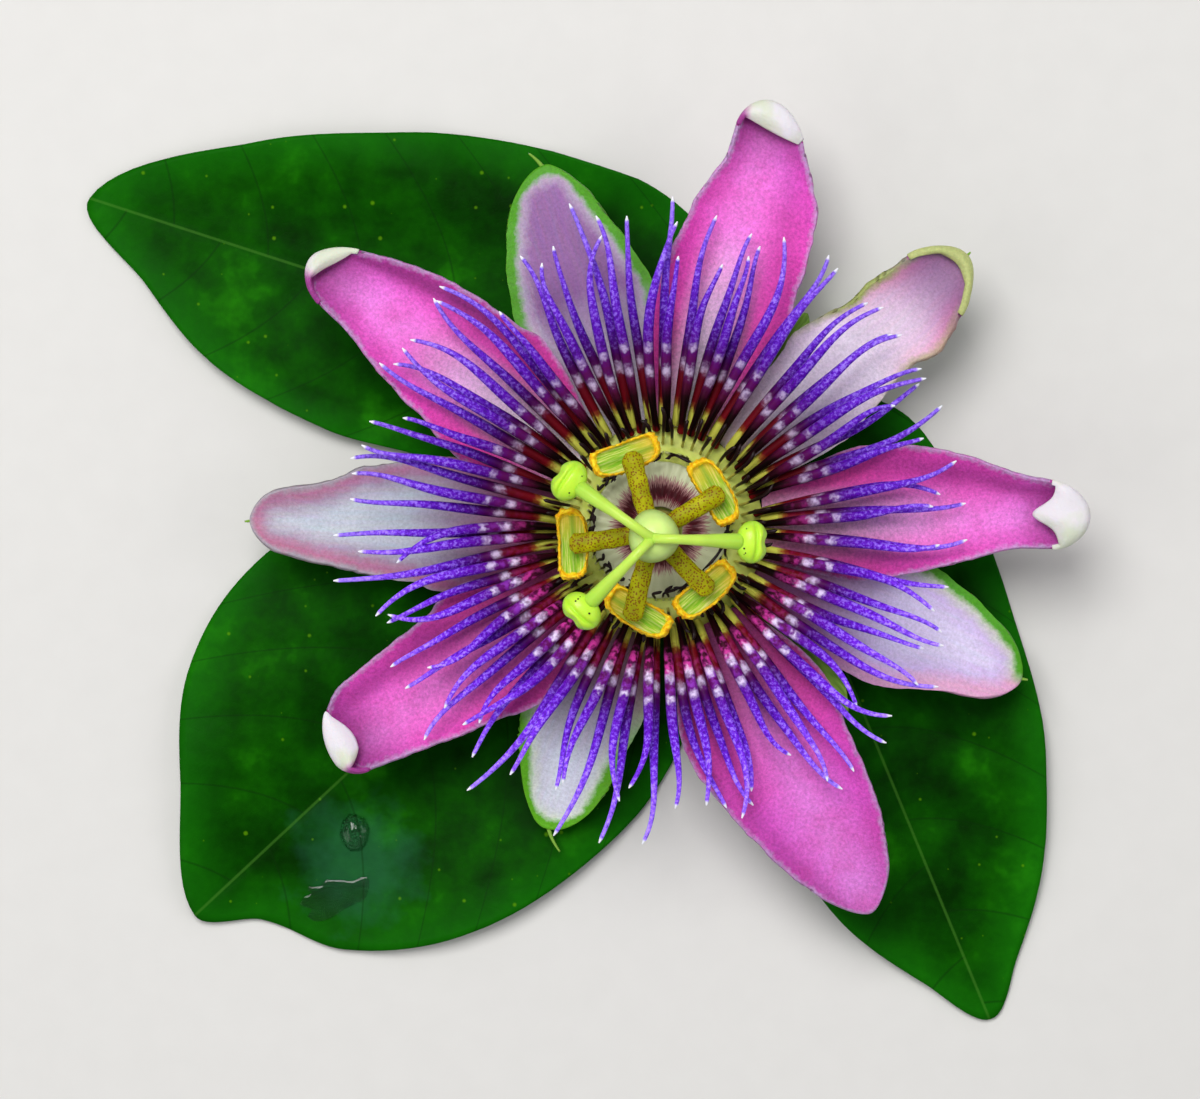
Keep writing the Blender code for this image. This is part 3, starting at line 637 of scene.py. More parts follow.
# Each inner face: centre and middle colour, the tint inside the left and right margins, the rim colour, how
# wide the rim is in mm, how much of it shows on the left and on the right, the colour of its foot and how
# many centimetres of the blade the foot's colour covers. The foot colours are partly painted: dark mauve as
# painted shade between the threads on the near side, near white as painted light on the far side.
SEPAL_COLOURS = [
    ("8F6099", "94689E", ("BBAEBE", "BBAEBE"), "4E9A14", 1.3, (1.0, 1.0), "F2E8F6", 1.9),
    ("A466A4", "B45CA2", ("C8488A", "D04A92"), "A2AE62", 0.4, (1.0, 0.6), "FFF0FC", 2.8),
    ("DCD0EE", "CFB8E4", ("C6CEB2", "DCA2C6"), "4A9A12", 1.1, (1.0, 0.0), "A04C88", 1.9),
    ("E2E6F2", "DAD8E8", ("D8E4CC", "D8E4CC"), "5FAE16", 1.3, (1.0, 1.0), "6E3450", 1.9),
    ("BEC4CE", "A890A8", ("BA5A84", "B4628C"), "A89CA8", 0.35, (1.0, 1.0), "A65088", 1.9),
]


# A sepal's inner face is matt and finely grained, white to mauve, with a green rim where the green back
# shows round the edge; the back is leaf green. The grain is cell rows about 0.2 mm wide, drawn at 0.3 mm.
def make_sepal_material(number, colours):
    centre, middle, edges, rim, width, rim_sides, foot, foot_reach = colours
    material, add = new_material(
        f"sepal_skin_{number}", 0.55, Specular_IOR_Level=0.3, Subsurface_Weight=0.08, Subsurface_Scale=0.0012)
    place = add("UVMap", {"uv_map": "blade"})
    split = add("SeparateXYZ", links={0: place})
    left = add("MapRange", {1: -0.1, 2: 0.1}, {0: split.outputs["Y"]})
    margin, cap, shade = (
        add("Attribute", {"attribute_name": key}).outputs["Fac"] for key in ("margin", "cap", "shade"))
    at = add("TexCoord").outputs["Object"]
    long_way = add("Mapping", {"Scale": (0.7, 9.0, 1.0)}, {"Vector": place})
    streak = add("TexNoise", {"Scale": 2.2, "Detail": 4.0, "Roughness": 0.65}, {"Vector": long_way})
    grain = add("TexNoise", {"Scale": 2600.0, "Detail": 2.0, "Roughness": 0.7}, {"Vector": at})
    ragged = add("TexNoise", {"Scale": 900.0, "Detail": 4.0, "Roughness": 0.7}, {"Vector": at})
    wander = add("Math", {"operation": "MULTIPLY_ADD", 1: 1.6, 2: -0.8}, {0: ragged})
    inward = add("Math", {"operation": "ADD"}, {0: margin, 1: wander})
    body = add("MapRange", {1: width, 2: width + 4.0}, {0: inward})
    edge = add("Mix", {"data_type": "RGBA", "A": edges[1], "B": edges[0]}, {"Factor": left})
    inner = add("MapRange", {1: 0.4, 2: 1.0}, {0: body})
    heart = add("Mix", {"data_type": "RGBA", "A": middle, "B": centre}, {"Factor": inner})
    outer = add("MapRange", {1: 0.0, 2: 0.5}, {0: body})
    tone = add("Mix", {"data_type": "RGBA"}, {"Factor": outer, "A": edge, "B": heart})
    # The foot's colour holds painted shade on the near side of the flower and painted light on the far side.
    near = add("MapRange", {1: foot_reach, 2: foot_reach - 1.2, 3: 0.0, 4: 0.9}, {0: split.outputs["X"]})
    tone = add("Mix", {"data_type": "RGBA", "B": foot}, {"Factor": near, "A": tone})
    tone = add("Mix", {"data_type": "RGBA", "blend_type": "SOFT_LIGHT", "Factor": 0.3}, {
        "A": tone, "B": streak.outputs["Color"]})
    # The green rim starts past the foot, and the back shows its green wherever the skin faces down.
    rim_share = add("MapRange", {1: width + 0.6, 2: width - 0.3}, {0: inward})
    past_foot = add("MapRange", {1: 1.0, 2: 2.0}, {0: split.outputs["X"]})
    shown = add("MapRange", {3: rim_sides[1], 4: rim_sides[0]}, {0: left})
    for limit in (past_foot, shown):
        rim_share = add("Math", {"operation": "MULTIPLY"}, {0: rim_share, 1: limit})
    facing = add("SeparateXYZ", links={0: add("NewGeometry").outputs["True Normal"]})
    under = add("MapRange", {1: 0.05, 2: -0.25}, {0: facing.outputs["Z"]})
    # Painted shade, partly the sepal's own darker colour: the shade attribute darkens a hooded tip inside its
    # lip.
    for share, colour in ((rim_share, rim), (shade, "8E6C92"), (cap, "B6BE78"), (under, "6E9A48")):
        tone = add("Mix", {"data_type": "RGBA", "B": colour}, {"Factor": share, "A": tone})
    lit = add("MapRange", {1: 0.3, 2: 0.7, 3: 0.84, 4: 1.1}, {0: grain})
    tone = add("Mix", {"data_type": "RGBA", "blend_type": "MULTIPLY", "Factor": 1.0}, {"A": tone, "B": lit})
    relief = add("Bump", {"Strength": 0.4, "Distance": 0.00025}, {"Height": grain})
    return dress(material, tone, relief)


def add_awn(piece, blade):
    """Bakes the sepal's wall and grows the green hook behind its tip out of the same mesh."""
    graph = bpy.context.evaluated_depsgraph_get()
    walled = bpy.data.meshes.new_from_object(piece.evaluated_get(graph), depsgraph=graph)
    piece.modifiers.clear()
    bm = bmesh.new()
    bm.from_mesh(walled)
    length, bend = blade["awn"]
    tip_height = along(blade["heights"], blade["tip"], 1)
    path = []
    for i in range(15):
        f = i / 14
        path.append(Vector((
            blade["tip"] - 1.8 + (length + 1.8) * f - 0.3 * bend * f * f, bend * (1.5 * f * f + 0.4 * f),
            tip_height - 0.25 + 0.6 * f * f)))
    turn = Matrix.Rotation(math.radians(blade["bearing"]), 3, "Z")
    path = [AXIS + (turn @ point) * MM for point in path]
    rings = add_tube(bm, path, [MM * (0.4 - 0.28 * i / 14) for i in range(15)], 8)
    for face in {face for ring in rings for vert in ring for face in vert.link_faces}:
        face.material_index = 1
    bm.to_mesh(piece.data)
    bm.free()
    piece.data.materials.append(bract_green)
    piece.data.shade_smooth()


for number, sepal in enumerate(SEPALS, 1):
    skin = make_sepal_material(number, SEPAL_COLOURS[number - 1])
    blade = make_blade(
        f"sepal_blade_{number}", sepal, skin, f"sepal_{number}", SEPAL_THICKNESS, 90, 36)
    add_awn(blade, sepal)


# ---- Petals ----
# Five petals grow just above the sepals and overlap them. They are thinner and velvety magenta-pink, with a
# pale ragged margin, and most end in a white hood where the tip curls up and folds back over.
PETAL_BASE = (13.3, 13.75)
PETAL_THICKNESS = 0.5
# dark: where across the blade, from -1 to 1, a band of painted shade lies under a raised edge, and how strong
# it is.
PETALS = [
    {"bearing": 75.3, "tip": 56.2, "cup": (24, 1.8), "frill": 0.5, "ragged": 0.045, "dark": (-0.6, 0.35),
     "outline": [
         BLADE_BASE, (25, 8.3, 8.6), (35, 7.5, 9.5), (43, 5.8, 9.3), (48, 3.8, 7.4), (52.5, 3.5, 5.0)],
     "heights": [PETAL_BASE, (32, 15.2), (56, 15.4)],
     "hood": {"radius": 1.1, "fold": 52.9, "slant": 0.9, "bow": 0.0, "bare": (0.6, 0.95)}},
    {"bearing": 2.0, "tip": 54.6, "cup": (24, 1.9), "frill": 0.25, "fold": {True: 1.5, False: 0.6},
     "dark": (0.72, 0.75),
     "outline": [BLADE_BASE, (25, 9.6, 7.3), (33, 9.4, 6.4), (40, 7.8, 5.0), (45, 5.7, 3.9), (50, 4.4, 4.1)],
     "heights": [PETAL_BASE, (32, 15.4), (54, 15.0)],
     "hood": {"radius": 1.3, "fold": 50.2, "slant": -0.2, "bow": 0.6, "nose": 2.6}},
    {"bearing": 299.0, "tip": 56.1, "cup": (24, 1.3), "frill": 0.3, "dark": (-0.8, 0.3),
     "outline": [BLADE_BASE, (25, 9.3, 10.6), (35, 8.6, 9.9), (45, 7.3, 7.3), (50, 5.6, 5.2)],
     "heights": [PETAL_BASE, (32, 15.0), (56, 13.4)]},
    {"bearing": 215.8, "tip": 50.8, "cup": (24, 1.6), "frill": 0.4, "ragged": 0.04, "dark": (-0.72, 0.7),
     "outline": [BLADE_BASE, (25, 9.0, 9.2), (32, 7.3, 8.4), (40, 5.3, 8.0), (46, 3.6, 7.2), (48, 3.1, 6.0)],
     "heights": [PETAL_BASE, (32, 15.0), (50, 13.2)],
     "hood": {"radius": 1.1, "fold": 47.5, "slant": 2.2, "bow": 2.8, "bare": (0.25, 0.65)}},
    {"bearing": 142.1, "tip": 56.2, "cup": (24, 1.6), "frill": 0.3, "dark": (-0.82, 1.0),
     "outline": [BLADE_BASE, (25, 8.5, 9.7), (33, 7.2, 9.4), (40, 6.2, 8.7), (47, 4.4, 6.7), (52, 3.8, 4.5)],
     "heights": [PETAL_BASE, (32, 15.0), (56, 14.2)],
     "hood": {"radius": 0.9, "fold": 54.3, "slant": 1.2, "bow": -0.4, "bare": (0.2, 0.7)}},
]


# Petal skin is a velvet of tiny domed cells: matt and coloured in fine grain. It is hot pink near the
# middle of the flower and lilac-pink further out, white along its middle line at the foot, and deeper pink
# towards the margins, partly its own colour and partly painted shade along the raised edges. Inside the
# hoods and under folded edges it is darker, partly its own colour and partly painted shade, and the last
# half millimetre of the margin is thin and grey-lilac. Grain is drawn at 0.35 mm.
def make_petal_material(name, painted_light_gain):
    material, add = new_material(
        name, 0.6, Specular_IOR_Level=0.15, Subsurface_Weight=0.08, Subsurface_Scale=0.001)
    place = add("UVMap", {"uv_map": "blade"})
    at = add("TexCoord").outputs["Object"]
    split = add("SeparateXYZ", links={0: place})
    margin, cap, shade = (
        add("Attribute", {"attribute_name": key}).outputs["Fac"] for key in ("margin", "cap", "shade"))
    cloud = add("TexNoise", {"Scale": 160.0, "Detail": 4.0}, {"Vector": at})
    long_way = add("Mapping", {"Scale": (1.4, 10.0, 1.0)}, {"Vector": place})
    streak = add("TexNoise", {"Scale": 1.6, "Detail": 5.0, "Roughness": 0.6}, {"Vector": long_way})
    grain = add("TexNoise", {"Scale": 2500.0, "Detail": 3.0, "Roughness": 0.7}, {"Vector": at})
    outward = add("Math", {"operation": "DIVIDE", 1: 4.3}, {0: split.outputs["X"]})
    tone = add("ValToRGB", {"stops": [
        (0.2, "EA48A8"), (0.42, "EC4EBC"), (0.62, "E65AD0"), (0.85, "DA5ECE"), (1.0, "D068CA"),
    ]}, {"Fac": outward})
    middle_line = add("Math", {"operation": "ABSOLUTE"}, {0: split.outputs["Y"]})
    stripe = add("MapRange", {1: 0.6, 2: 0.05, 3: 0.0, 4: 0.55}, {0: middle_line})
    uneven = add("MapRange", {1: 0.55, 2: 0.35, 3: 0.0, 4: 0.4}, {0: cloud})
    # Deeper pink towards the margins, partly its own colour and partly painted shade along the raised edges.
    side = add("MapRange", {1: 3.6, 2: 0.8, 3: 0.0, 4: 0.35}, {0: margin})
    # The foot is white along its middle line, whitened further as painted light on the far side of the
    # flower;
    # on the near side it is painted dull mauve as shade between the threads.
    near = add("MapRange", {1: 2.0, 2: 0.4, 3: 0.0, 4: 0.95}, {0: split.outputs["X"]})
    inner = add("MapRange", {1: 0.5, 2: 0.1}, {0: middle_line})
    level = add("SeparateXYZ", links={0: at}).outputs["Y"]
    far_side = add("MapRange", {1: AXIS.y - 0.012, 2: AXIS.y + 0.012, 3: 0.05, 4: 1.0}, {0: level})
    white = add("Math", {"operation": "MULTIPLY"}, {0: near, 1: inner})
    white = add("Math", {"operation": "MULTIPLY"}, {0: white, 1: far_side})
    near_side = add("MapRange", {1: AXIS.y + 0.004, 2: AXIS.y - 0.010, 3: 0.0, 4: 0.75}, {0: level})
    mauve = add("Math", {"operation": "MULTIPLY"}, {0: near, 1: near_side})
    # Painted shade, partly the petal's own darker colour: the shade attribute darkens it to deep magenta.
    dark = add("Math", {"operation": "MULTIPLY", 1: 0.88}, {0: shade})
    ragged = add("TexNoise", {"Scale": 1500.0, "Detail": 4.0}, {"Vector": at})
    wander = add("Math", {"operation": "MULTIPLY_ADD", 1: 1.4, 2: -0.7}, {0: ragged})
    inward = add("Math", {"operation": "ADD"}, {0: margin, 1: wander})
    fringe = add("MapRange", {1: 0.6, 2: -0.1, 3: 0.0, 4: 0.7}, {0: inward})
    for share, colour in (
        (stripe, "EE98EA"), (uneven, "CC3E9E"), (side, "C2349A"), (white, "FFF6FF"), (mauve, "8E2A66"),
        (dark, "8A2C76"), (fringe, "B6A6CA"),
    ):
        tone = add("Mix", {"data_type": "RGBA", "B": colour}, {"Factor": share, "A": tone})
    # The grain's brightness is scaled by the gain; the copy with a gain below 1 is painted shade.
    lit = add("MapRange", {1: 0.3, 2: 0.7, 3: 0.74 * painted_light_gain, 4: 1.2 * painted_light_gain}, {0: grain})
    tone = add("Mix", {"data_type": "RGBA", "blend_type": "MULTIPLY", "Factor": 1.0}, {"A": tone, "B": lit})
    cream = add("MapRange", {1: 0.45, 2: 0.6}, {0: cloud})
    hooded = add("Mix", {"data_type": "RGBA", "A": "E6E0E6", "B": "D6DBC6"}, {"Factor": cream})
    tone = add("Mix", {"data_type": "RGBA"}, {"Factor": cap, "A": tone, "B": hooded})
    facing = add("SeparateXYZ", links={0: add("NewGeometry").outputs["True Normal"]})
    under = add("MapRange", {1: 0.0, 2: -0.3}, {0: facing.outputs["Z"]})
    tone = add("Mix", {"data_type": "RGBA", "B": "D9B8D6"}, {"Factor": under, "A": tone})
    relief = add("Bump", {"Strength": 0.4, "Distance": 0.00025}, {"Height": grain})
    ribs = add("Bump", {"Strength": 0.12, "Distance": 0.0005}, {"Height": streak, "Normal": relief})
    return dress(material, tone, ribs)


petal_velvet = make_petal_material("petal_velvet_magenta", 1.0)
# A darker copy of the velvet, its grain scaled by 0.87, paints shade on the lower right petal.
petal_velvet_painted_shade = make_petal_material("petal_velvet_magenta_painted_shade", 0.87)
for number, petal in enumerate(PETALS, 1):
    velvet = petal_velvet_painted_shade if number == 3 else petal_velvet
    make_blade(
        f"petal_blade_{number}", petal, velvet, f"petal_{number}", PETAL_THICKNESS, 120, 44)


# ---- Corona ----
# The fringe that makes the flower: two rows of long tapered threads stand on the cup's rim and spread over
# the petals, banded white on maroon and then violet, with white tips. Inside them stand a row of short
# black-tipped threads and an inmost row of tiny ones. The rows tip a little towards the back of the flower.
THREAD_SPAN = 45.0
OUTER_WIDTH = [
    (0.0, 0.95), (0.12, 0.9), (0.32, 0.92), (0.5, 0.82), (0.7, 0.6), (0.86, 0.42), (0.985, 0.32), (1.0, 0.1)]
SECOND_WIDTH = [
    (0.0, 0.72), (0.06, 0.58), (0.2, 0.72), (0.35, 0.9), (0.48, 0.92), (0.62, 0.82), (0.76, 0.6),
    (0.88, 0.42), (0.985, 0.32), (1.0, 0.1)]
SHORT_WIDTH = [(0.0, 0.7), (0.5, 0.8), (0.8, 1.0), (0.94, 0.95), (1.0, 0.2)]
LONG_RISE = [(0.0, 0.0), (0.12, 0.45), (0.3, 0.75), (0.6, 0.96), (1.0, 1.0)]
SHORT_RISE = [(0.0, 0.0), (0.3, 0.5), (0.7, 0.9), (1.0, 1.0)]


def corona_tree(rise, width):
    """Threads in a ring. Each is a line moved out, up and sideways, and swept by a small circle."""
    tree = bpy.data.node_groups.new("thread row", "GeometryNodeTree")
    add = partial(add_node, tree)
    face = tree.interface
    for kind, names in (
        ("Geometry", ["Geometry"]), ("Int", ["Count", "Seed", "Sides", "Steps"]),
        ("Float", ["Turn", "Ring radius", "Foot height", "Reach", "Reach spread"]),
        ("Float", ["Rise", "Half width", "Sway", "Curl"]),
        ("Vector", ["Foot shift", "Top shift"]), ("Material", ["Skin"]),
    ):
        for name in names:
            face.new_socket(name, in_out="INPUT", socket_type="NodeSocket" + kind)
    face.new_socket("Geometry", in_out="OUTPUT", socket_type="NodeSocketGeometry")
    given = add("NodeGroupInput").outputs
    # One point for each thread, which carries that thread's own bearing, reach and bends.
    feet = add("GeometryNodeMeshLine", {"mode": "OFFSET"}, {"Count": given["Count"]})
    index = add("GeometryNodeInputIndex")

    def chance(low, high, step):
        seed = add("Math", {"operation": "ADD", 1: step}, {0: given["Seed"]})
        return add(
            "FunctionNodeRandomValue", {"data_type": "FLOAT", 2: low, 3: high}, {"ID": index, "Seed": seed})

    jitter = chance(-0.18, 0.18, 1)
    place = add("Math", {"operation": "ADD"}, {0: index, 1: jitter})
    shifted = add("Math", {"operation": "ADD"}, {0: place, 1: given["Turn"]})
    step = add("Math", {"operation": "DIVIDE", 0: 2 * math.pi}, {1: given["Count"]})
    bearing = add("Math", {"operation": "MULTIPLY"}, {0: shifted, 1: step})
    shorter = chance(0.0, 1.0, 2)
    cut = add("Math", {"operation": "MULTIPLY"}, {0: shorter, 1: given["Reach spread"]})
    reach = add("Math", {"operation": "SUBTRACT"}, {0: given["Reach"], 1: cut})
    geometry = feet
    for name, value in (
        ("bearing", bearing), ("reach", reach), ("sway", chance(-1.0, 1.0, 3)),
        ("phase", chance(0.0, 6.28, 4)), ("level", chance(-0.5, 0.5, 5)), ("curl", chance(-1.0, 1.0, 6)),
        ("tone", chance(0.0, 1.0, 7)),
    ):
        geometry = add(
            "GeometryNodeStoreNamedAttribute", {"data_type": "FLOAT", "domain": "POINT", "Name": name},
            {"Geometry": geometry, "Value": value})
    # Each thread starts as a straight line; share is 0 at its foot and 1 at its tip.
    line = add("GeometryNodeCurvePrimitiveLine")
    fine_line = add("GeometryNodeResampleCurve", links={"Curve": line, "Count": given["Steps"]})
    copies = add("GeometryNodeInstanceOnPoints", links={"Points": geometry, "Instance": fine_line})
    threads = add("GeometryNodeRealizeInstances", links={0: copies})
    share = add("GeometryNodeSplineParameter").outputs["Factor"]

    def read(name):
        return add("GeometryNodeInputNamedAttribute", {"data_type": "FLOAT", "Name": name})

    # A slow swing, a late curl and a slight wave move the thread sideways, most of all near its tip.
    span = add("Math", {"operation": "SUBTRACT"}, {0: read("reach"), 1: given["Ring radius"]})
    out = add("Math", {"operation": "MULTIPLY_ADD"}, {0: span, 1: share, 2: given["Ring radius"]})
    late = add("Math", {"operation": "POWER", 1: 2.5}, {0: share})
    later = add("Math", {"operation": "POWER", 1: 7.0}, {0: share})
    rarely = add("Math", {"operation": "POWER", 1: 3.0}, {0: read("sway")})
    swing = add("Math", {"operation": "MULTIPLY"}, {0: rarely, 1: given["Sway"]})
    swung = add("Math", {"operation": "MULTIPLY"}, {0: swing, 1: late})
    hook = add("Math", {"operation": "MULTIPLY"}, {0: read("curl"), 1: given["Curl"]})
    hooked = add("Math", {"operation": "MULTIPLY_ADD"}, {0: hook, 1: later, 2: swung})
    turning = add("Math", {"operation": "MULTIPLY_ADD", 1: 8.0}, {0: share, 2: read("phase")})
    wave = add("Math", {"operation": "SINE"}, {0: turning})
    waved = add("Math", {"operation": "MULTIPLY"}, {0: wave, 1: late})
    amount = add("Math", {"operation": "MULTIPLY", 1: 0.15}, {0: given["Sway"]})
    small = add("Math", {"operation": "MULTIPLY_ADD"}, {0: waved, 1: amount, 2: hooked})
    inner = add("Math", {"operation": "SUBTRACT", 0: 1.0}, {1: share})
    near_foot = add("Math", {"operation": "POWER", 1: 3.0}, {0: inner})
    slant = add("Math", {"operation": "MULTIPLY"}, {0: read("curl"), 1: amount})
    footed = add("Math", {"operation": "MULTIPLY_ADD"}, {0: near_foot, 1: slant, 2: small})
    angle_off = add("Math", {"operation": "DIVIDE"}, {0: footed, 1: out})
    angle = add("Math", {"operation": "ADD"}, {0: read("bearing"), 1: angle_off})
    cosine = add("Math", {"operation": "COSINE"}, {0: angle})
    sine = add("Math", {"operation": "SINE"}, {0: angle})
    x = add("Math", {"operation": "MULTIPLY"}, {0: out, 1: cosine})
    y = add("Math", {"operation": "MULTIPLY"}, {0: out, 1: sine})
    # Its height follows one curve for the whole row, and the row's centre moves with it.
    climb = add("FloatCurve", {"curve": rise}, {"Value": share})
    up = add("Math", {"operation": "MULTIPLY_ADD"}, {
        0: climb, 1: given["Rise"], 2: given["Foot height"]})
    own = add("Math", {"operation": "MULTIPLY", 1: 0.001}, {0: read("level")})
    z = add("Math", {"operation": "MULTIPLY_ADD"}, {0: own, 1: late, 2: up})
    spot = add("CombineXYZ", links={0: x, 1: y, 2: z})
    shift = add("Mix", {"data_type": "VECTOR"}, {
        "Factor": climb, "A": given["Foot shift"], "B": given["Top shift"]})
    moved = add("GeometryNodeSetPosition", links={
        "Geometry": threads, "Position": spot, "Offset": shift})
    kept = add(
        "GeometryNodeStoreNamedAttribute", {"data_type": "FLOAT", "domain": "POINT", "Name": "out"},
        {"Geometry": moved, "Value": out})
    kept = add(
        "GeometryNodeStoreNamedAttribute", {"data_type": "FLOAT", "domain": "POINT", "Name": "share"},
        {"Geometry": kept, "Value": share})
    # A small circle is swept along it, tapered, closed at both ends and given its skin.
    taper = add("FloatCurve", {"curve": width}, {"Value": share})
    thick = add("Math", {"operation": "MULTIPLY"}, {0: taper, 1: given["Half width"]})
    circle = add("GeometryNodeCurvePrimitiveCircle", {"Radius": 1.0}, {"Resolution": given["Sides"]})
    about = add("GeometryNodeSplineParameter").outputs["Factor"]
    ring = add(
        "GeometryNodeStoreNamedAttribute", {"data_type": "FLOAT", "domain": "POINT", "Name": "side"},
        {"Geometry": circle, "Value": about})
    swept = add("GeometryNodeCurveToMesh", {"Fill Caps": True}, {
        "Curve": kept, "Profile Curve": ring, "Scale": thick})
    plain = add("GeometryNodeRealizeInstances", links={0: swept})
    smooth = add("GeometryNodeSetShadeSmooth", links={"Geometry": plain})
    skinned = add("GeometryNodeSetMaterial", links={"Geometry": smooth, "Material": given["Skin"]})
    add("NodeGroupOutput", links={0: skinned})
    return tree


def grow(name, tree, values, node):
    """Runs a node tree once with its inputs set and keeps the plain mesh that it makes."""
    holder = show(name + "_holder", bpy.data.meshes.new(name))
    modifier = holder.modifiers.new("Grow", "NODES")
    modifier.node_group = tree
    for item in tree.interface.items_tree:
        if item.item_type == "SOCKET" and item.in_out == "INPUT" and item.name in values:
            modifier[item.identifier] = values[item.name]
    graph = bpy.context.evaluated_depsgraph_get()
    mesh = bpy.data.meshes.new_from_object(holder.evaluated_get(graph), depsgraph=graph)
    bpy.data.objects.remove(holder, do_unlink=True)
    mesh.transform(Matrix.Translation(AXIS))
    hand_over(show(name, mesh), [node])


# A long thread is a fleshy hair, moist and slightly shiny. Its colour goes by distance from the middle:
# a near-black or maroon foot, one or two narrow white bands, then violet mottled paler and a white tip. The
# mottling is groups of cells about 0.4 mm across, and lengthwise streaks mark the foot.
def make_thread_material(name, stops, bands, foot, foot_share, mottle, fleck):
    material, add = new_material(
        name, 0.45, Specular_IOR_Level=0.07, Subsurface_Weight=0.05, Subsurface_Scale=0.0006)
    at = add("TexCoord").outputs["Object"]
    out, share, side, own = (
        add("Attribute", {"attribute_name": key}).outputs["Fac"] for key in ("out", "share", "side", "tone"))
    ragged = add("TexNoise", {"Scale": 1700.0, "Detail": 2.0}, {"Vector": at})
    shift = add("Math", {"operation": "MULTIPLY_ADD", 1: 0.0016, 2: -0.0012}, {0: ragged})
    own_shift = add("Math", {"operation": "MULTIPLY_ADD", 1: 0.0008}, {0: own, 2: shift})
    shifted = add("Math", {"operation": "ADD"}, {0: out, 1: own_shift})
    scaled = add("Math", {"operation": "DIVIDE", 1: THREAD_SPAN * MM}, {0: shifted})
    shares = [(place / THREAD_SPAN, colour) for place, colour in stops]
    tone = add("ValToRGB", {"stops": shares}, {"Fac": scaled})
    around = add("Math", {"operation": "MULTIPLY", 1: 3.0}, {0: side})
    apart = add("Math", {"operation": "MULTIPLY", 1: 40.0}, {0: own})
    outwards = add("Math", {"operation": "MULTIPLY", 1: 90.0}, {0: out})
    length_way = add("CombineXYZ", links={0: around, 1: outwards, 2: apart})
    streaks = add("TexNoise", {"Scale": 1.6, "Detail": 3.0}, {"Vector": length_way})
    dark = add("MapRange", {1: 0.66 - 0.24 * foot_share, 2: 0.74 - 0.2 * foot_share}, {0: streaks})
    near = add("MapRange", {1: 0.0195, 2: 0.0165}, {0: out})
    dark_share = add("Math", {"operation": "MULTIPLY"}, {0: dark, 1: near})
    cells = add("TexNoise", {"Scale": 2300.0, "Detail": 2.0, "Roughness": 0.65}, {"Vector": at})
    pale = add("MapRange", {1: 0.5, 2: 0.62, 3: 0.0, 4: mottle}, {0: cells})
    outer = add("MapRange", {1: 0.0225, 2: 0.034, 3: 0.1, 4: 1.0}, {0: out})
    past_bands = add("Math", {"operation": "GREATER_THAN", 1: 0.0234}, {0: out})
    for limit in (outer, past_bands):
        pale = add("Math", {"operation": "MULTIPLY"}, {0: pale, 1: limit})
    pits = add("MapRange", {1: 0.46, 2: 0.34, 3: 0.0, 4: 0.5}, {0: cells})
    pits = add("Math", {"operation": "MULTIPLY"}, {0: pits, 1: past_bands})
    for amount, colour in ((dark_share, foot), (pale, "B08EFF"), (pits, "22064E")):
        tone = add("Mix", {"data_type": "RGBA", "B": colour}, {"Factor": amount, "A": tone})
    # The threads on the near side of the flower are brighter, as painted light, and flecked magenta below
    # each band, and their bands are whiter; on the far side painted shade dulls the bands to mauve.
    level = add("SeparateXYZ", links={0: at}).outputs["Y"]
    near_side = add("MapRange", {1: AXIS.y + 0.006, 2: AXIS.y - 0.010}, {0: level})
    painted_light_gain = add("MapRange", {3: 0.94, 4: 1.32}, {0: near_side})
    tone = add("Mix", {"data_type": "RGBA", "blend_type": "MULTIPLY", "Factor": 1.0}, {"A": tone, "B": painted_light_gain})
    soft = add("TexNoise", {"Scale": 1300.0, "Detail": 2.0}, {"Vector": at})
    blotch = add("MapRange", {1: 0.42, 2: 0.62, 3: 0.0, 4: fleck}, {0: soft})
    past_foot = add("MapRange", {1: 0.0166, 2: 0.0184}, {0: out})
    before_band = add("MapRange", {1: 0.0228, 2: 0.0220}, {0: out})
    fleck_tone = add("MapRange", {1: 0.0198, 2: 0.0206}, {0: out})
    fleck_colour = add("Mix", {"data_type": "RGBA", "A": "D23CA0", "B": "8E34B8"}, {"Factor": fleck_tone})
    for limit in (near_side, past_foot, before_band):
        blotch = add("Math", {"operation": "MULTIPLY"}, {0: blotch, 1: limit})
    tone = add("Mix", {"data_type": "RGBA"}, {"Factor": blotch, "A": tone, "B": fleck_colour})
    # A band is brightest along the crest of the thread, a painted highlight where its top faces up; it breaks
    # up into single cells at its edges, and painted shade halves it on the far side.
    edges = [(0.0, 0.0)]
    for centre, half, strength in bands:
        for place, height in (
            (centre - half - 0.3, 0.0), (centre - half * 0.4, strength), (centre + half * 0.4, strength),
            (centre + half + 0.3, 0.0),
        ):
            edges.append((place / THREAD_SPAN, height))
    white = add("ValToRGB", {"stops": edges}, {"Fac": scaled})
    upright = add("SeparateXYZ", links={0: add("NewGeometry").outputs["Normal"]})
    painted_crest_highlight = add("MapRange", {1: 0.35, 2: 0.95, 3: 0.2, 4: 1.0}, {0: upright.outputs["Z"]})
    broken = add("MapRange", {1: 0.36, 2: 0.56, 3: 0.35, 4: 1.0}, {0: soft})
    far_side_painted_shade = add("MapRange", {3: 0.5, 4: 1.0}, {0: near_side})
    for limit in (painted_crest_highlight, broken, far_side_painted_shade):
        white = add("Math", {"operation": "MULTIPLY"}, {0: white, 1: limit})
    tip = add("MapRange", {1: 0.972, 2: 0.985}, {0: share})
    for amount, colour in ((white, "EEDCFF"), (tip, "F0EFF8")):
        tone = add("Mix", {"data_type": "RGBA", "B": colour}, {"Factor": amount, "A": tone})
    relief = add("Bump", {"Strength": 0.3, "Distance": 0.0001}, {"Height": cells})
    return dress(material, tone, relief)


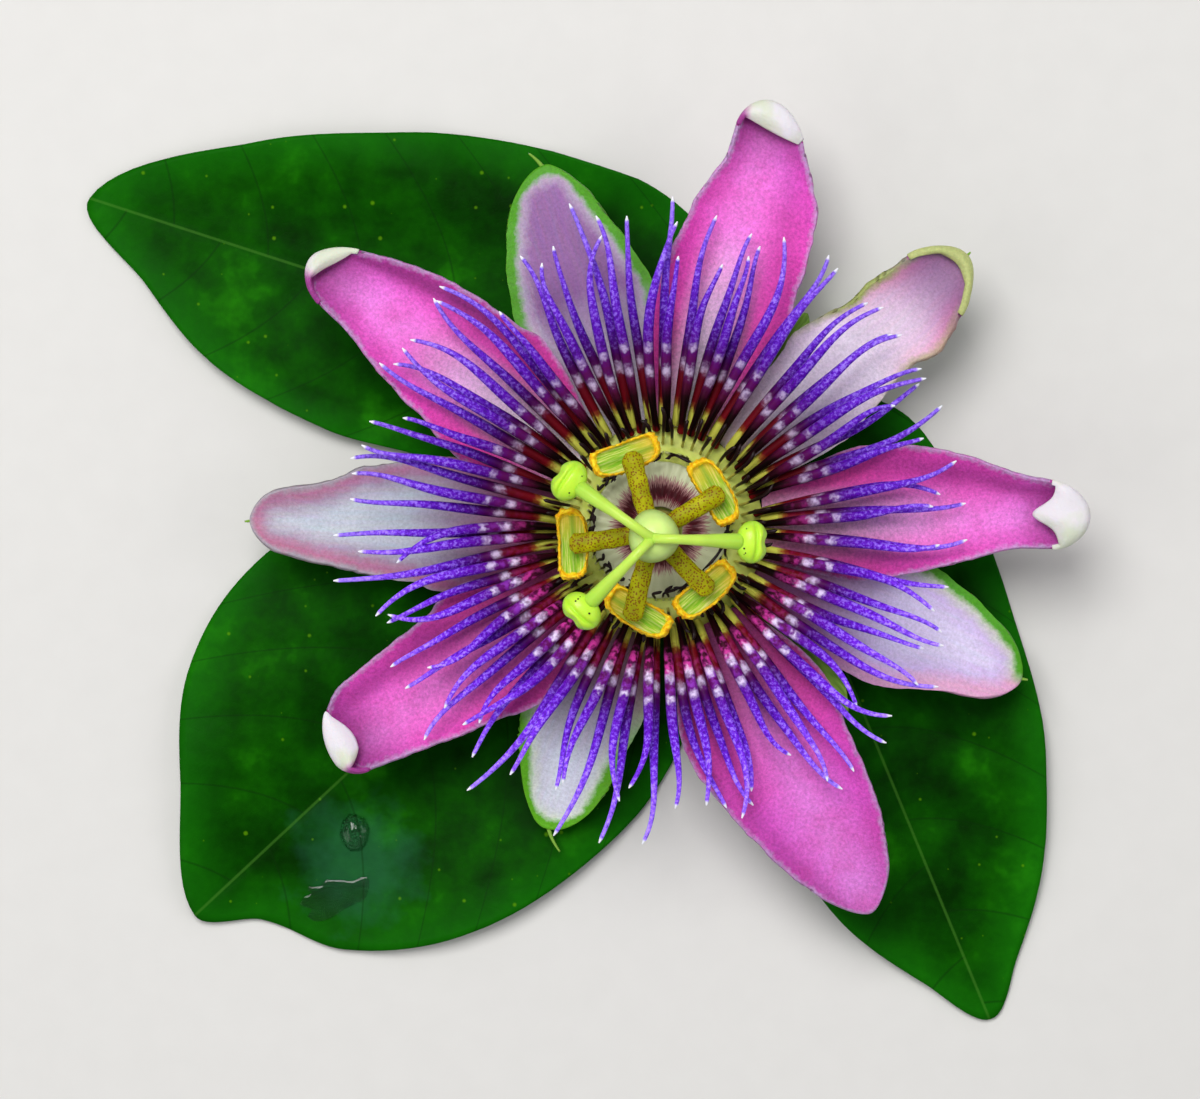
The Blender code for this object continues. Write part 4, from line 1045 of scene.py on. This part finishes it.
# The short threads are plain: a pale foot that turns almost black within a millimetre, with a low shine.
def make_short_thread_material(name, foot, turns_black):
    material, add = new_material(name, 0.4)
    share = add("Attribute", {"attribute_name": "share"})
    at = add("TexCoord").outputs["Object"]
    ragged = add("TexNoise", {"Scale": 1500.0, "Detail": 2.0}, {"Vector": at})
    place = add("Math", {"operation": "MULTIPLY_ADD", 1: 0.3}, {0: ragged, 2: share.outputs["Fac"]})
    black = add("MapRange", {1: turns_black, 2: turns_black + 0.15}, {0: place})
    tone = add("Mix", {"data_type": "RGBA", "A": foot, "B": "1A0508"}, {"Factor": black})
    return dress(material, tone)


# stops: a distance from the flower's axis in mm and the colour there. bands: each white band's distance,
# half width in mm and strength. foot: the colour streaked over the foot.
outer_skin = make_thread_material(
    "corona_outer_thread", foot="38060C", foot_share=0.5, mottle=0.75, fleck=0.3, bands=[(21.2, 0.55, 0.85)],
    stops=[
        (15.6, "CCCC52"), (16.4, "8A4A20"), (17.0, "6E0A16"), (20.0, "5E0818"), (20.6, "661A40"),
        (21.7, "561A56"), (22.6, "420446"), (24.5, "480878"), (27.0, "540CA6"), (31.0, "6820CC"),
        (35.0, "7C44E6"), (40.0, "9470F8"),
    ])
second_skin = make_thread_material(
    "corona_second_thread", foot="0C0203", foot_share=1.0, mottle=0.85, fleck=0.95,
    bands=[(20.2, 0.5, 1.0), (22.95, 0.3, 0.85)],
    stops=[
        (12.6, "7E0C16"), (13.6, "240308"), (17.2, "24040E"), (18.4, "4A082C"), (19.6, "54104A"),
        (20.6, "4E0E5A"), (21.6, "54084E"), (22.6, "560A70"), (23.5, "540A88"), (26.0, "580CAE"),
        (30.0, "6820D0"), (34.0, "7A3EE6"), (39.0, "9468F8"),
    ])
short_skin = make_short_thread_material("corona_short_thread", foot="B9B24A", turns_black=0.4)
inmost_skin = make_short_thread_material("corona_inmost_thread", foot="C9CE8A", turns_black=0.35)

outer_tree = corona_tree(LONG_RISE, OUTER_WIDTH)
second_tree = corona_tree(LONG_RISE, SECOND_WIDTH)
short_tree = corona_tree(SHORT_RISE, SHORT_WIDTH)
# Each row is centred a little towards the back of the flower, and its upper ends more than its feet.
long_row = {"Count": 46, "Reach spread": 0.0065, "Half width": 0.00074, "Sides": 10, "Steps": 44}
short_row = {"Sides": 7, "Foot shift": (0.0001, 0.0005, 0.0)}
grow("corona_outer_row", outer_tree, {
    **long_row, "Skin": outer_skin, "Seed": 3, "Turn": 0.36, "Ring radius": 0.0133, "Foot height": 0.0148,
    "Reach": 0.0425, "Rise": 0.0038, "Sway": 0.0035, "Curl": 0.0019,
    "Foot shift": (0.0001, 0.0005, 0.0), "Top shift": (-0.0002, 0.0008, 0.0),
}, "outer_corona")
grow("corona_second_row", second_tree, {
    **long_row, "Skin": second_skin, "Seed": 11, "Turn": 0.0, "Ring radius": 0.0123, "Foot height": 0.0150,
    "Reach": 0.0395, "Rise": 0.0056, "Sway": 0.0044, "Curl": 0.0023,
    "Foot shift": (0.00015, 0.0006, 0.0), "Top shift": (-0.0002, 0.0012, 0.0),
}, "second_corona")
grow("corona_short_row", short_tree, {
    **short_row, "Skin": short_skin, "Seed": 5, "Count": 54, "Turn": 0.2, "Ring radius": 0.0106,
    "Foot height": 0.0145, "Reach": 0.0154, "Reach spread": 0.0026, "Rise": 0.0046, "Half width": 0.00027,
    "Sway": 0.0009, "Curl": 0.0005, "Steps": 14, "Top shift": (0.0, 0.0007, 0.0),
}, "short_corona")
grow("corona_inmost_row", short_tree, {
    **short_row, "Skin": inmost_skin, "Seed": 6, "Count": 60, "Turn": 0.0, "Ring radius": 0.0095,
    "Foot height": 0.0142, "Reach": 0.0079, "Reach spread": -0.0009, "Rise": 0.0022, "Half width": 0.00022,
    "Sway": 0.0045, "Curl": 0.0009, "Steps": 12, "Top shift": (0.0001, 0.0007, 0.0),
}, "inmost_corona")


# ---- Operculum ----
# A pleated skin that roofs the nectar dish round the column: whitish next to the column and at its outer
# edge, with a broad maroon ring between whose edges run out in fine streaks.
OPERCULUM_EDGE = 8.78
PLEATS = 36
RING_CENTRE = Vector((0.1, 0.6, 0))


# Its skin is moist and thin, and the maroon soaks outwards in streaks 0.1 to 0.2 mm wide.
def make_operculum():
    material, add = new_material("operculum_pleated_skin", 0.4)
    polar = add("UVMap", {"uv_map": "polar"})
    stretched = add("Mapping", {"Scale": (46.0, 0.9, 1.0)}, {"Vector": polar})
    streak = add("TexNoise", {"Scale": 1.0, "Detail": 3.0}, {"Vector": stretched})
    split = add("SeparateXYZ", links={0: polar})
    shift = add("Math", {"operation": "MULTIPLY_ADD", 1: 3.6, 2: -1.8}, {0: streak})
    ragged = add("Math", {"operation": "ADD"}, {0: split.outputs["Y"], 1: shift})
    scaled = add("Math", {"operation": "DIVIDE", 1: 10.0}, {0: ragged})
    tone = add("ValToRGB", {"stops": [
        (0.27, "C9BCA8"), (0.34, "7A2A40"), (0.4, "3E0812"), (0.49, "50101E"), (0.57, "A87878"),
        (0.65, "CDD2AA"),
    ]}, {"Fac": scaled})
    dress(material, tone)
    profile = rounded([(OPERCULUM_EDGE, 14.1), (7.2, 14.35), (5.6, 14.5), (4.0, 14.1), (3.0, 13.5)], 24)
    profile += rounded([(3.0, 13.1), (5.5, 13.6), (OPERCULUM_EDGE, 13.6)], 10)
    bm = bmesh.new()
    add_turned(
        bm, profile, 180, lambda angle, radius: 0.12 * math.sin(PLEATS * angle) * ramp(radius, 3.4, 5.5))
    uv = bm.loops.layers.uv.new("polar")
    for face in bm.faces:
        centre = face.calc_center_median()
        about = math.atan2(centre.y, centre.x)
        for loop in face.loops:
            point = loop.vert.co
            angle = math.atan2(point.y, point.x)
            if angle - about > math.pi:
                angle -= 2 * math.pi
            if about - angle > math.pi:
                angle += 2 * math.pi
            loop[uv].uv = (angle, (point - RING_CENTRE).xy.length)
    place_piece("operculum_skin", bm, [material], ["operculum"])


make_operculum()


# ---- Column and ovary ----
# One stalk rises from the middle of the flower and carries the stamens and the ovary above the corona. It
# leans a little to one side. The ovary on its top is a smooth, pale lime egg.
LEAN = Vector((-0.0545, -0.052, 0))
LEAN_FROM = 14.0
COLUMN_TOP = 26.8
COLUMN_FOOT = 12.7
OVARY_RADIUS = 3.0
OVARY_HALF_HEIGHT = 3.7
OVARY_HEIGHT = 31.0


def lean_at(height):
    """How far the leaning column has moved sideways at a height."""
    return LEAN * max(height - LEAN_FROM, 0.0)


# Both have a smooth moist skin. The column is yellow-green and freckled maroon near its foot; the ovary is
# painted almost white-green on top as painted light and a deeper green round its lower half as painted shade.
def make_smooth_green(name, low, high, heights, roughness, specks=0.0):
    """A skin that goes from one colour to another between two heights."""
    material, add = new_material(
        name, roughness, Subsurface_Weight=0.15, Subsurface_Scale=0.0015, Coat_Weight=0.1)
    at = add("TexCoord").outputs["Object"]
    split = add("SeparateXYZ", links={0: at})
    height = add("MapRange", {1: heights[0] * MM, 2: heights[1] * MM}, {0: split.outputs["Z"]})
    cloud = add("TexNoise", {"Scale": 600.0, "Detail": 3.0}, {"Vector": at})
    tone = add("Mix", {"data_type": "RGBA", "A": low, "B": high}, {"Factor": height})
    lit = add("MapRange", {1: 0.25, 2: 0.75, 3: 0.93, 4: 1.05}, {0: cloud})
    shaded = add("Mix", {
        "data_type": "RGBA", "blend_type": "MULTIPLY", "Factor": 1.0}, {"A": tone, "B": lit})
    dots = add("TexVoronoi", {"Scale": 1500.0}, {"Vector": at})
    dot = add("MapRange", {1: 0.32, 2: 0.2, 3: 0.0, 4: specks}, {0: dots.outputs["Distance"]})
    speckled = add("Mix", {"data_type": "RGBA", "B": "6A2418"}, {"Factor": dot, "A": shaded})
    relief = add("Bump", {"Strength": 0.15, "Distance": 0.0002}, {"Height": cloud})
    return dress(material, speckled, relief)


def make_column():
    bm = bmesh.new()
    profile = rounded([
        (0, COLUMN_TOP + 1.2), (1.1, COLUMN_TOP + 1.0), (1.5, COLUMN_TOP), (1.9, 26.2), (1.65, 24.0),
        (1.6, 17.0), (2.0, 15.2), (2.6, 14.2), (2.45, COLUMN_FOOT), (0, COLUMN_FOOT),
    ], 60)
    add_turned(bm, profile, 40)
    for vert in bm.verts:
        vert.co += lean_at(vert.co.z)
    skin = make_smooth_green("column_skin", "8A7A3A", "A9B846", (13.0, 18.0), 0.4, specks=0.6)
    place_piece("column_stalk", bm, [skin], ["column"])


def make_ovary():
    bm = bmesh.new()
    bmesh.ops.create_uvsphere(bm, u_segments=56, v_segments=40, radius=1.0)
    for vert in bm.verts:
        x, y, z = vert.co
        swell = 1 + 0.03 * math.cos(3 * math.atan2(y, x) + 0.6) * (1 - z * z)
        belly = 1 + 0.06 * z
        vert.co = Vector((x * OVARY_RADIUS * 1.05 * swell * belly, y * OVARY_RADIUS * 1.1 * swell * belly,
                          OVARY_HEIGHT + z * OVARY_HALF_HEIGHT)) + lean_at(OVARY_HEIGHT)
    face_out(bm)
    # Painted light and shade: dark green at the bottom of the egg, almost white-green at its top.
    skin = make_smooth_green("ovary_skin", "2E7A08", "DAF68C", (29.2, 34.4), 0.35)
    place_piece("ovary_egg", bm, [skin], ["ovary"])


make_column()
make_ovary()


# ---- Stamens ----
# Five stout flattened stalks spread from the top of the column, each carrying an anther slung across its
# tip. The anthers have split: green troughs with swollen orange-yellow rims of pollen.
STAMEN_HEIGHT = 26.1
STAMEN_START = 1.7
ANTHER_HEIGHT = 24.0
# Each stamen: bearing and reach of its stalk, middle of its anther, the way the anther points, and which of
# its ends is the yellow one.
STAMENS = [
    (107.5, 10.7, (-4.3, 9.1), 20.0, 1),
    (34.0, 10.0, (6.9, 4.9), 120.0, 1),
    (-45.5, 10.0, (5.75, -7.75), 41.0, 1),
    (254.0, 11.1, (-2.9, -10.5), -32.0, -1),
    (185.5, 10.7, (-10.9, -1.8), 93.0, 1),
]


# A stalk is yellow-green with a coarse skin and many red-brown freckles, each about 0.15 mm.
def make_stalk_material():
    material, add = new_material(
        "stamen_freckled_skin", 0.5, Specular_IOR_Level=0.12, Subsurface_Weight=0.08, Subsurface_Scale=0.001)
    at = add("TexCoord").outputs["Object"]
    cloud = add("TexNoise", {"Scale": 500.0, "Detail": 4.0}, {"Vector": at})
    tone = add("ValToRGB", {"stops": [
        (0.3, "8C8800"), (0.55, "A4A200"), (0.75, "BAB608")]}, {"Fac": cloud})
    cells = add("TexVoronoi", {"Scale": 3300.0}, {"Vector": at})
    spot = add("MapRange", {1: 0.46, 2: 0.34}, {0: cells.outputs["Distance"]})
    some = add("Math", {"operation": "GREATER_THAN", 1: 0.12}, {0: cells.outputs["Color"]})
    share = add("Math", {"operation": "MULTIPLY"}, {0: spot, 1: some})
    weak = add("Math", {"operation": "MULTIPLY", 1: 0.8}, {0: share})
    speckled = add("Mix", {"data_type": "RGBA", "B": "7A3008"}, {"Factor": weak, "A": tone})
    relief = add("Bump", {"Strength": 0.4, "Distance": 0.0002}, {"Height": cloud})
    return dress(material, speckled, relief)


# An anther's trough is soft green tissue, streaked lengthwise; its rims and back are covered in clinging
# orange-yellow pollen, which is rough and quite matt.
def make_anther_material():
    material, add = new_material("anther_pollen_and_tissue", 0.6)
    place = add("UVMap", {"uv_map": "boat"})
    split = add("SeparateXYZ", links={0: place})
    at = add("TexCoord").outputs["Object"]
    long_way = add("Mapping", {"Scale": (0.25, 3.5, 1.0)}, {"Vector": place})
    streak = add("TexNoise", {"Scale": 1.3, "Detail": 3.0}, {"Vector": long_way})
    green = add("ValToRGB", {"stops": [
        (0.34, "6EB014"), (0.48, "9CC02A"), (0.62, "D2D87C")]}, {"Fac": streak})
    far_end = add("MapRange", {1: 0.0, 2: 3.6, 3: 0.0, 4: 0.85}, {0: split.outputs["X"]})
    ripe = add("Mix", {"data_type": "RGBA", "B": "D8B834"}, {"Factor": far_end, "A": green})
    groove = add("Math", {"operation": "ABSOLUTE"}, {0: split.outputs["Y"]})
    deep = add("MapRange", {1: 0.55, 2: 0.1, 3: 0.0, 4: 0.6}, {0: groove})
    grooved = add("Mix", {"data_type": "RGBA", "B": "5E9A10"}, {"Factor": deep, "A": ripe})
    rim = add("Attribute", {"attribute_name": "rim"})
    ragged = add("TexNoise", {"Scale": 2200.0, "Detail": 3.0}, {"Vector": at})
    wander = add("Math", {"operation": "MULTIPLY_ADD", 1: 0.9, 2: -0.45}, {0: ragged})
    edge = add("Math", {"operation": "ADD"}, {0: rim.outputs["Fac"], 1: wander})
    yellow = add("MapRange", {1: 0.38, 2: 0.62}, {0: edge})
    pollen = add("ValToRGB", {"stops": [
        (0.36, "F0A402"), (0.5, "FAC604"), (0.64, "FEE22A")]}, {"Fac": ragged})
    tone = add("Mix", {"data_type": "RGBA"}, {"Factor": yellow, "A": grooved, "B": pollen})
    relief = add("Bump", {"Strength": 0.5, "Distance": 0.0002}, {"Height": ragged})
    return dress(material, tone, relief)


def anther_point(point, number):
    """Maps a unit ball to an oblong trough 9 mm long, with swollen rims, and tells how near the rim it is."""
    flat = math.hypot(point.x, point.z)
    square = (abs(point.x) ** 4 + abs(point.z) ** 4) ** 0.25
    stretch = flat / square if square > 1e-6 else 1.0
    across, length = point.x * stretch, point.z * stretch
    reach = min(flat, 1.0)
    height = point.y
    if point.y > 0:
        reach = 1 - point.y * (1 - 0.2 * point.y)
        spread = 1 / max(flat, 1e-6) * reach
        across, length = across * spread, length * spread
        height = 0.1 + 0.95 * math.exp(-(((reach - 0.9) / 0.075) ** 2)) - 0.1 * ramp(reach, 0.94, 1.0)
        height += 0.22 * math.exp(-((across / 0.16) ** 2)) * (1 - reach)
    bend = 0.45 * length * length
    spot = Vector((length * 4.5, across * 1.9 + bend, height))
    grain = noise.noise(spot * 2.1 + Vector((number * 5, 0, 0))) + 0.6 * noise.noise(spot * 5.3)
    rim = ramp(reach, 0.7, 0.92) if point.y > 0 else 1.0
    ball = Vector((spot.x / 4.5, spot.y / 1.9, 0))
    return spot + (Vector((0, 0, 0.2 * grain)) + ball * (0.22 * grain)) * rim, rim


def make_stamens():
    stalk_skin = make_stalk_material()
    anther_skin = make_anther_material()
    hub = lean_at(STAMEN_HEIGHT)
    for number, (bearing, stalk_reach, middle, pointing, yellow_end) in enumerate(STAMENS, 1):
        bm = bmesh.new()
        turn = Matrix.Rotation(math.radians(bearing), 3, "Z")
        steps = 36
        path = []
        radii = []
        for i in range(steps + 1):
            f = i / steps
            out = STAMEN_START + (stalk_reach - STAMEN_START) * f
            sag = 0.15 * math.sin(f * math.pi)
            path.append(hub + turn @ Vector((out, 0.2 * math.sin(3 * f + number), STAMEN_HEIGHT + sag)))
            lumps = 1 + 0.03 * math.sin(23 * f + number)
            radii.append((1.12 + 0.2 * f) * (1 - 0.45 * ramp(f, 0.93, 1.0)) * lumps)
        add_tube(bm, path, radii, 24, flat=0.62, wobble=0.06, seed=number)
        across = Vector((*middle, 0)) - Vector((hub.x, hub.y, 0))
        near = hub.xy + across.xy * min(1.0, (stalk_reach - 1.0) / across.length)
        neck = [Vector((near.x, near.y, STAMEN_HEIGHT - 0.3 - 0.25 * i)) for i in range(8)]
        add_tube(bm, neck, [0.55] * 4 + [0.6, 0.66, 0.74, 0.8], 16)
        face_out(bm)
        place_piece(f"stamen_stalk_{number}", bm, [stalk_skin], [f"stamen_filament_{number}"])
        bm = bmesh.new()
        bmesh.ops.create_uvsphere(bm, u_segments=96, v_segments=56, radius=1.0)
        bmesh.ops.rotate(bm, verts=bm.verts, cent=(0, 0, 0), matrix=Matrix.Rotation(math.radians(90), 3, "X"))
        uv = bm.loops.layers.uv.new("boat")
        rim = bm.verts.layers.float.new("rim")
        seat = Vector((*middle, ANTHER_HEIGHT))
        swing = Matrix.Rotation(math.radians(pointing), 3, "Z")
        flat = {}
        for vert in bm.verts:
            boat, vert[rim] = anther_point(vert.co, number)
            flat[vert] = (boat.x * yellow_end, boat.y)
            vert.co = seat + swing @ boat
        for face in bm.faces:
            for loop in face.loops:
                loop[uv].uv = flat[loop.vert]
        face_out(bm)
        place_piece(f"anther_boat_{number}", bm, [anther_skin], [f"anther_{number}"])


make_stamens()


# ---- Styles and stigmas ----
# Three club-shaped styles join on top of the ovary and spread above the stamens. Each ends in a smooth
# two-lobed stigma, bent down at its outer side, with a few tiny dark dots where insects have fed.
STYLE_BEARINGS = (145.0, 358.0, 226.0)
STYLE_ROUTE = [
    (0.0, 0, 34.6), (1.3, 0, 35.5), (3.0, 0, 35.8), (5.4, 0, 35.2), (8.2, 0, 34.0), (10.9, 0, 32.9)]
STIGMA_REACH = 12.4
STIGMA_HEIGHT = 32.7


# Style and stigma are waxy lime green, the freshest colour on the flower, with a wet shine on the stigma.
def make_styles():
    style_skin = make_smooth_green("style_waxy_lime", "94D024", "C0E456", (32.0, 36.0), 0.35)
    stigma_skin = make_smooth_green("stigma_wet_lime", "7CC412", "C2EE3C", (30.8, 33.8), 0.3)
    dot_skin, add = new_material("stigma_dark_dot", 0.5)
    at = add("TexCoord").outputs["Object"]
    freckle = add("TexNoise", {"Scale": 4000.0}, {"Vector": at})
    dark = add("ValToRGB", {"stops": [(0.3, "0A0A06"), (0.7, "2A2410")]}, {"Fac": freckle})
    dress(dot_skin, dark)
    shift = lean_at(36.0)
    draw = random.Random(9)
    for number, bearing in enumerate(STYLE_BEARINGS, 1):
        turn = Matrix.Rotation(math.radians(bearing), 3, "Z")
        bm = bmesh.new()
        steps = 44
        path = [shift + turn @ point for point in smooth_route(STYLE_ROUTE, steps)]
        radii = [0.62 + 0.12 * ramp(-i, -8, 0) + 0.42 * ramp(i / steps, 0.45, 1.05) for i in range(steps + 1)]
        add_tube(bm, path, radii, 20, wobble=0.03, seed=number)
        face_out(bm)
        place_piece(f"style_club_{number}", bm, [style_skin], [f"style_{number}"])
        bm = bmesh.new()
        bmesh.ops.create_uvsphere(bm, u_segments=44, v_segments=32, radius=1.0)
        for vert in bm.verts:
            x, y, z = vert.co
            waist = 1 - 0.24 * math.exp(-((y / 0.3) ** 2)) * max(x, 0.0)
            lobes = 1 - 0.14 * math.cos(math.pi * y)
            lip = 0.5 * ramp(x, 0.62, 0.74)
            spot = Vector((x * 2.05 * waist, y * 2.65, z * 1.5 * lobes - 0.6 * y * y - lip))
            spot.z -= 0.55 * math.exp(-(((x - 0.3 + 0.25 * y * y) / 0.1) ** 2)) * ramp(z, 0.1, 0.8)
            vert.co = shift + turn @ (spot + Vector((STIGMA_REACH, 0, STIGMA_HEIGHT)))
        face_out(bm)
        stigma_faces = len(bm.faces)
        for _ in range(4):
            sideways = draw.choice((-1, 1)) * draw.uniform(0.6, 1.6)
            inward = draw.uniform(-1.1, -0.3)
            dome = max(1 - (sideways / 2.7) ** 2 - (inward / 1.75) ** 2, 0.05)
            level = 1.5 * math.sqrt(dome) - 0.1 * sideways**2
            spot = shift + turn @ Vector((STIGMA_REACH + inward, sideways, STIGMA_HEIGHT + level))
            bmesh.ops.create_icosphere(bm, subdivisions=2, radius=0.13, matrix=Matrix.Translation(spot))
        bm.faces.ensure_lookup_table()
        for face in bm.faces[stigma_faces:]:
            face.material_index = 1
        place_piece(
            f"stigma_head_{number}", bm, [stigma_skin, dot_skin], [f"stigma_{number}"])


make_styles()


# ---- Water drop ----
# One drop of water stands on the lower left lobe of the leaf, held up by its surface skin, and a thin film
# of water with a ragged outline lies below it.
DROP_PLACE = (-39.9, -39.7)
DROP_SIZE = (2.0, 2.45, 1.25)
FILM_PLACE = (-40.6, -49.0)
FILM_SIZE = (5.2, 2.6, 0.16)


def make_water_material():
    material, add = new_material(
        "water_clear", 0.02, Specular_IOR_Level=0.5, Transmission_Weight=1.0, IOR=1.33)
    at = add("TexCoord").outputs["Object"]
    tint = add("TexNoise", {"Scale": 300.0}, {"Vector": at})
    clear = add("ValToRGB", {"stops": [(0.3, "F2FAF4"), (0.7, "FFFFFF")]}, {"Fac": tint})
    return dress(material, clear)


def make_water(name, place, size, base, uneven, water):
    bm = bmesh.new()
    bmesh.ops.create_uvsphere(bm, u_segments=72, v_segments=28, radius=1.0)
    for vert in bm.verts:
        x, y, z = vert.co
        turn = Vector((math.cos(math.atan2(y, x)), math.sin(math.atan2(y, x)), size[2]))
        swell = 1 + uneven * (noise.noise(turn * 1.3) + 0.6 * noise.noise(turn * 3.7))
        vert.co = Vector((
            place[0] + x * size[0] * swell, place[1] + y * size[1] * swell, base + max(z, -0.12) * size[2]))
    bmesh.ops.remove_doubles(bm, verts=bm.verts, dist=1e-3)
    face_out(bm)
    place_piece(name, bm, [water], [])


water_clear = make_water_material()
make_water("water_drop", DROP_PLACE, DROP_SIZE, LEAF_THICKNESS + 0.32, 0.12, water_clear)
make_water("water_film", FILM_PLACE, FILM_SIZE, LEAF_THICKNESS + 0.34, 0.5, water_clear)


# ---- Floor, light and camera ----
# A plain pale table top, a large soft light above and behind the flower, a weaker one from the left, and a
# camera that looks straight down from half a metre.
CAMERA_HEIGHT = 0.5
CAMERA_OFFSET = Vector((-7.55, -2.5, 0)) * MM
CAMERA_LENS = 113.9


def make_stage():
    material, add = new_material("table_pale_card", 0.85)
    at = add("TexCoord").outputs["Object"]
    fibre = add("TexNoise", {"Scale": 220.0, "Detail": 5.0}, {"Vector": at})
    tone = add("ValToRGB", {"stops": [(0.3, "DAD8D4"), (0.7, "DCDAD6")]}, {"Fac": fibre})
    dress(material, tone)
    mesh = bpy.data.meshes.new("table")
    bm = bmesh.new()
    bmesh.ops.create_grid(bm, x_segments=2, y_segments=2, size=1.5)
    bm.to_mesh(mesh)
    bm.free()
    mesh.materials.append(material)
    show("table", mesh)
    world = bpy.data.worlds.new("studio")
    world.use_nodes = True
    glow = world.node_tree.nodes["Background"].inputs
    glow["Color"].default_value = linear("E8EAF0")
    glow["Strength"].default_value = 0.3
    bpy.context.scene.world = world
    for name, place, size, power in (
        ("key_softbox", (-0.14, 0.27, 0.72), 0.4, 4.9),
        ("fill_softbox", (-0.6, -0.25, 0.5), 0.6, 1.4),
        ("right_softbox", (0.6, 0.0, 0.5), 0.5, 1.0),
    ):
        data = bpy.data.lights.new(name, "AREA")
        data.size = size
        data.energy = power
        light = show(name, data)
        light.location = AXIS + Vector(place)
        light.rotation_euler = (AXIS - light.location).to_track_quat("-Z", "Y").to_euler()
    data = bpy.data.cameras.new("overhead")
    data.lens = CAMERA_LENS
    data.sensor_width = 36.0
    camera = show("overhead", data)
    camera.location = AXIS + CAMERA_OFFSET + Vector((0, 0, CAMERA_HEIGHT))
    bpy.context.scene.camera = camera
    bpy.context.scene.view_settings.view_transform = "Standard"


make_stage()
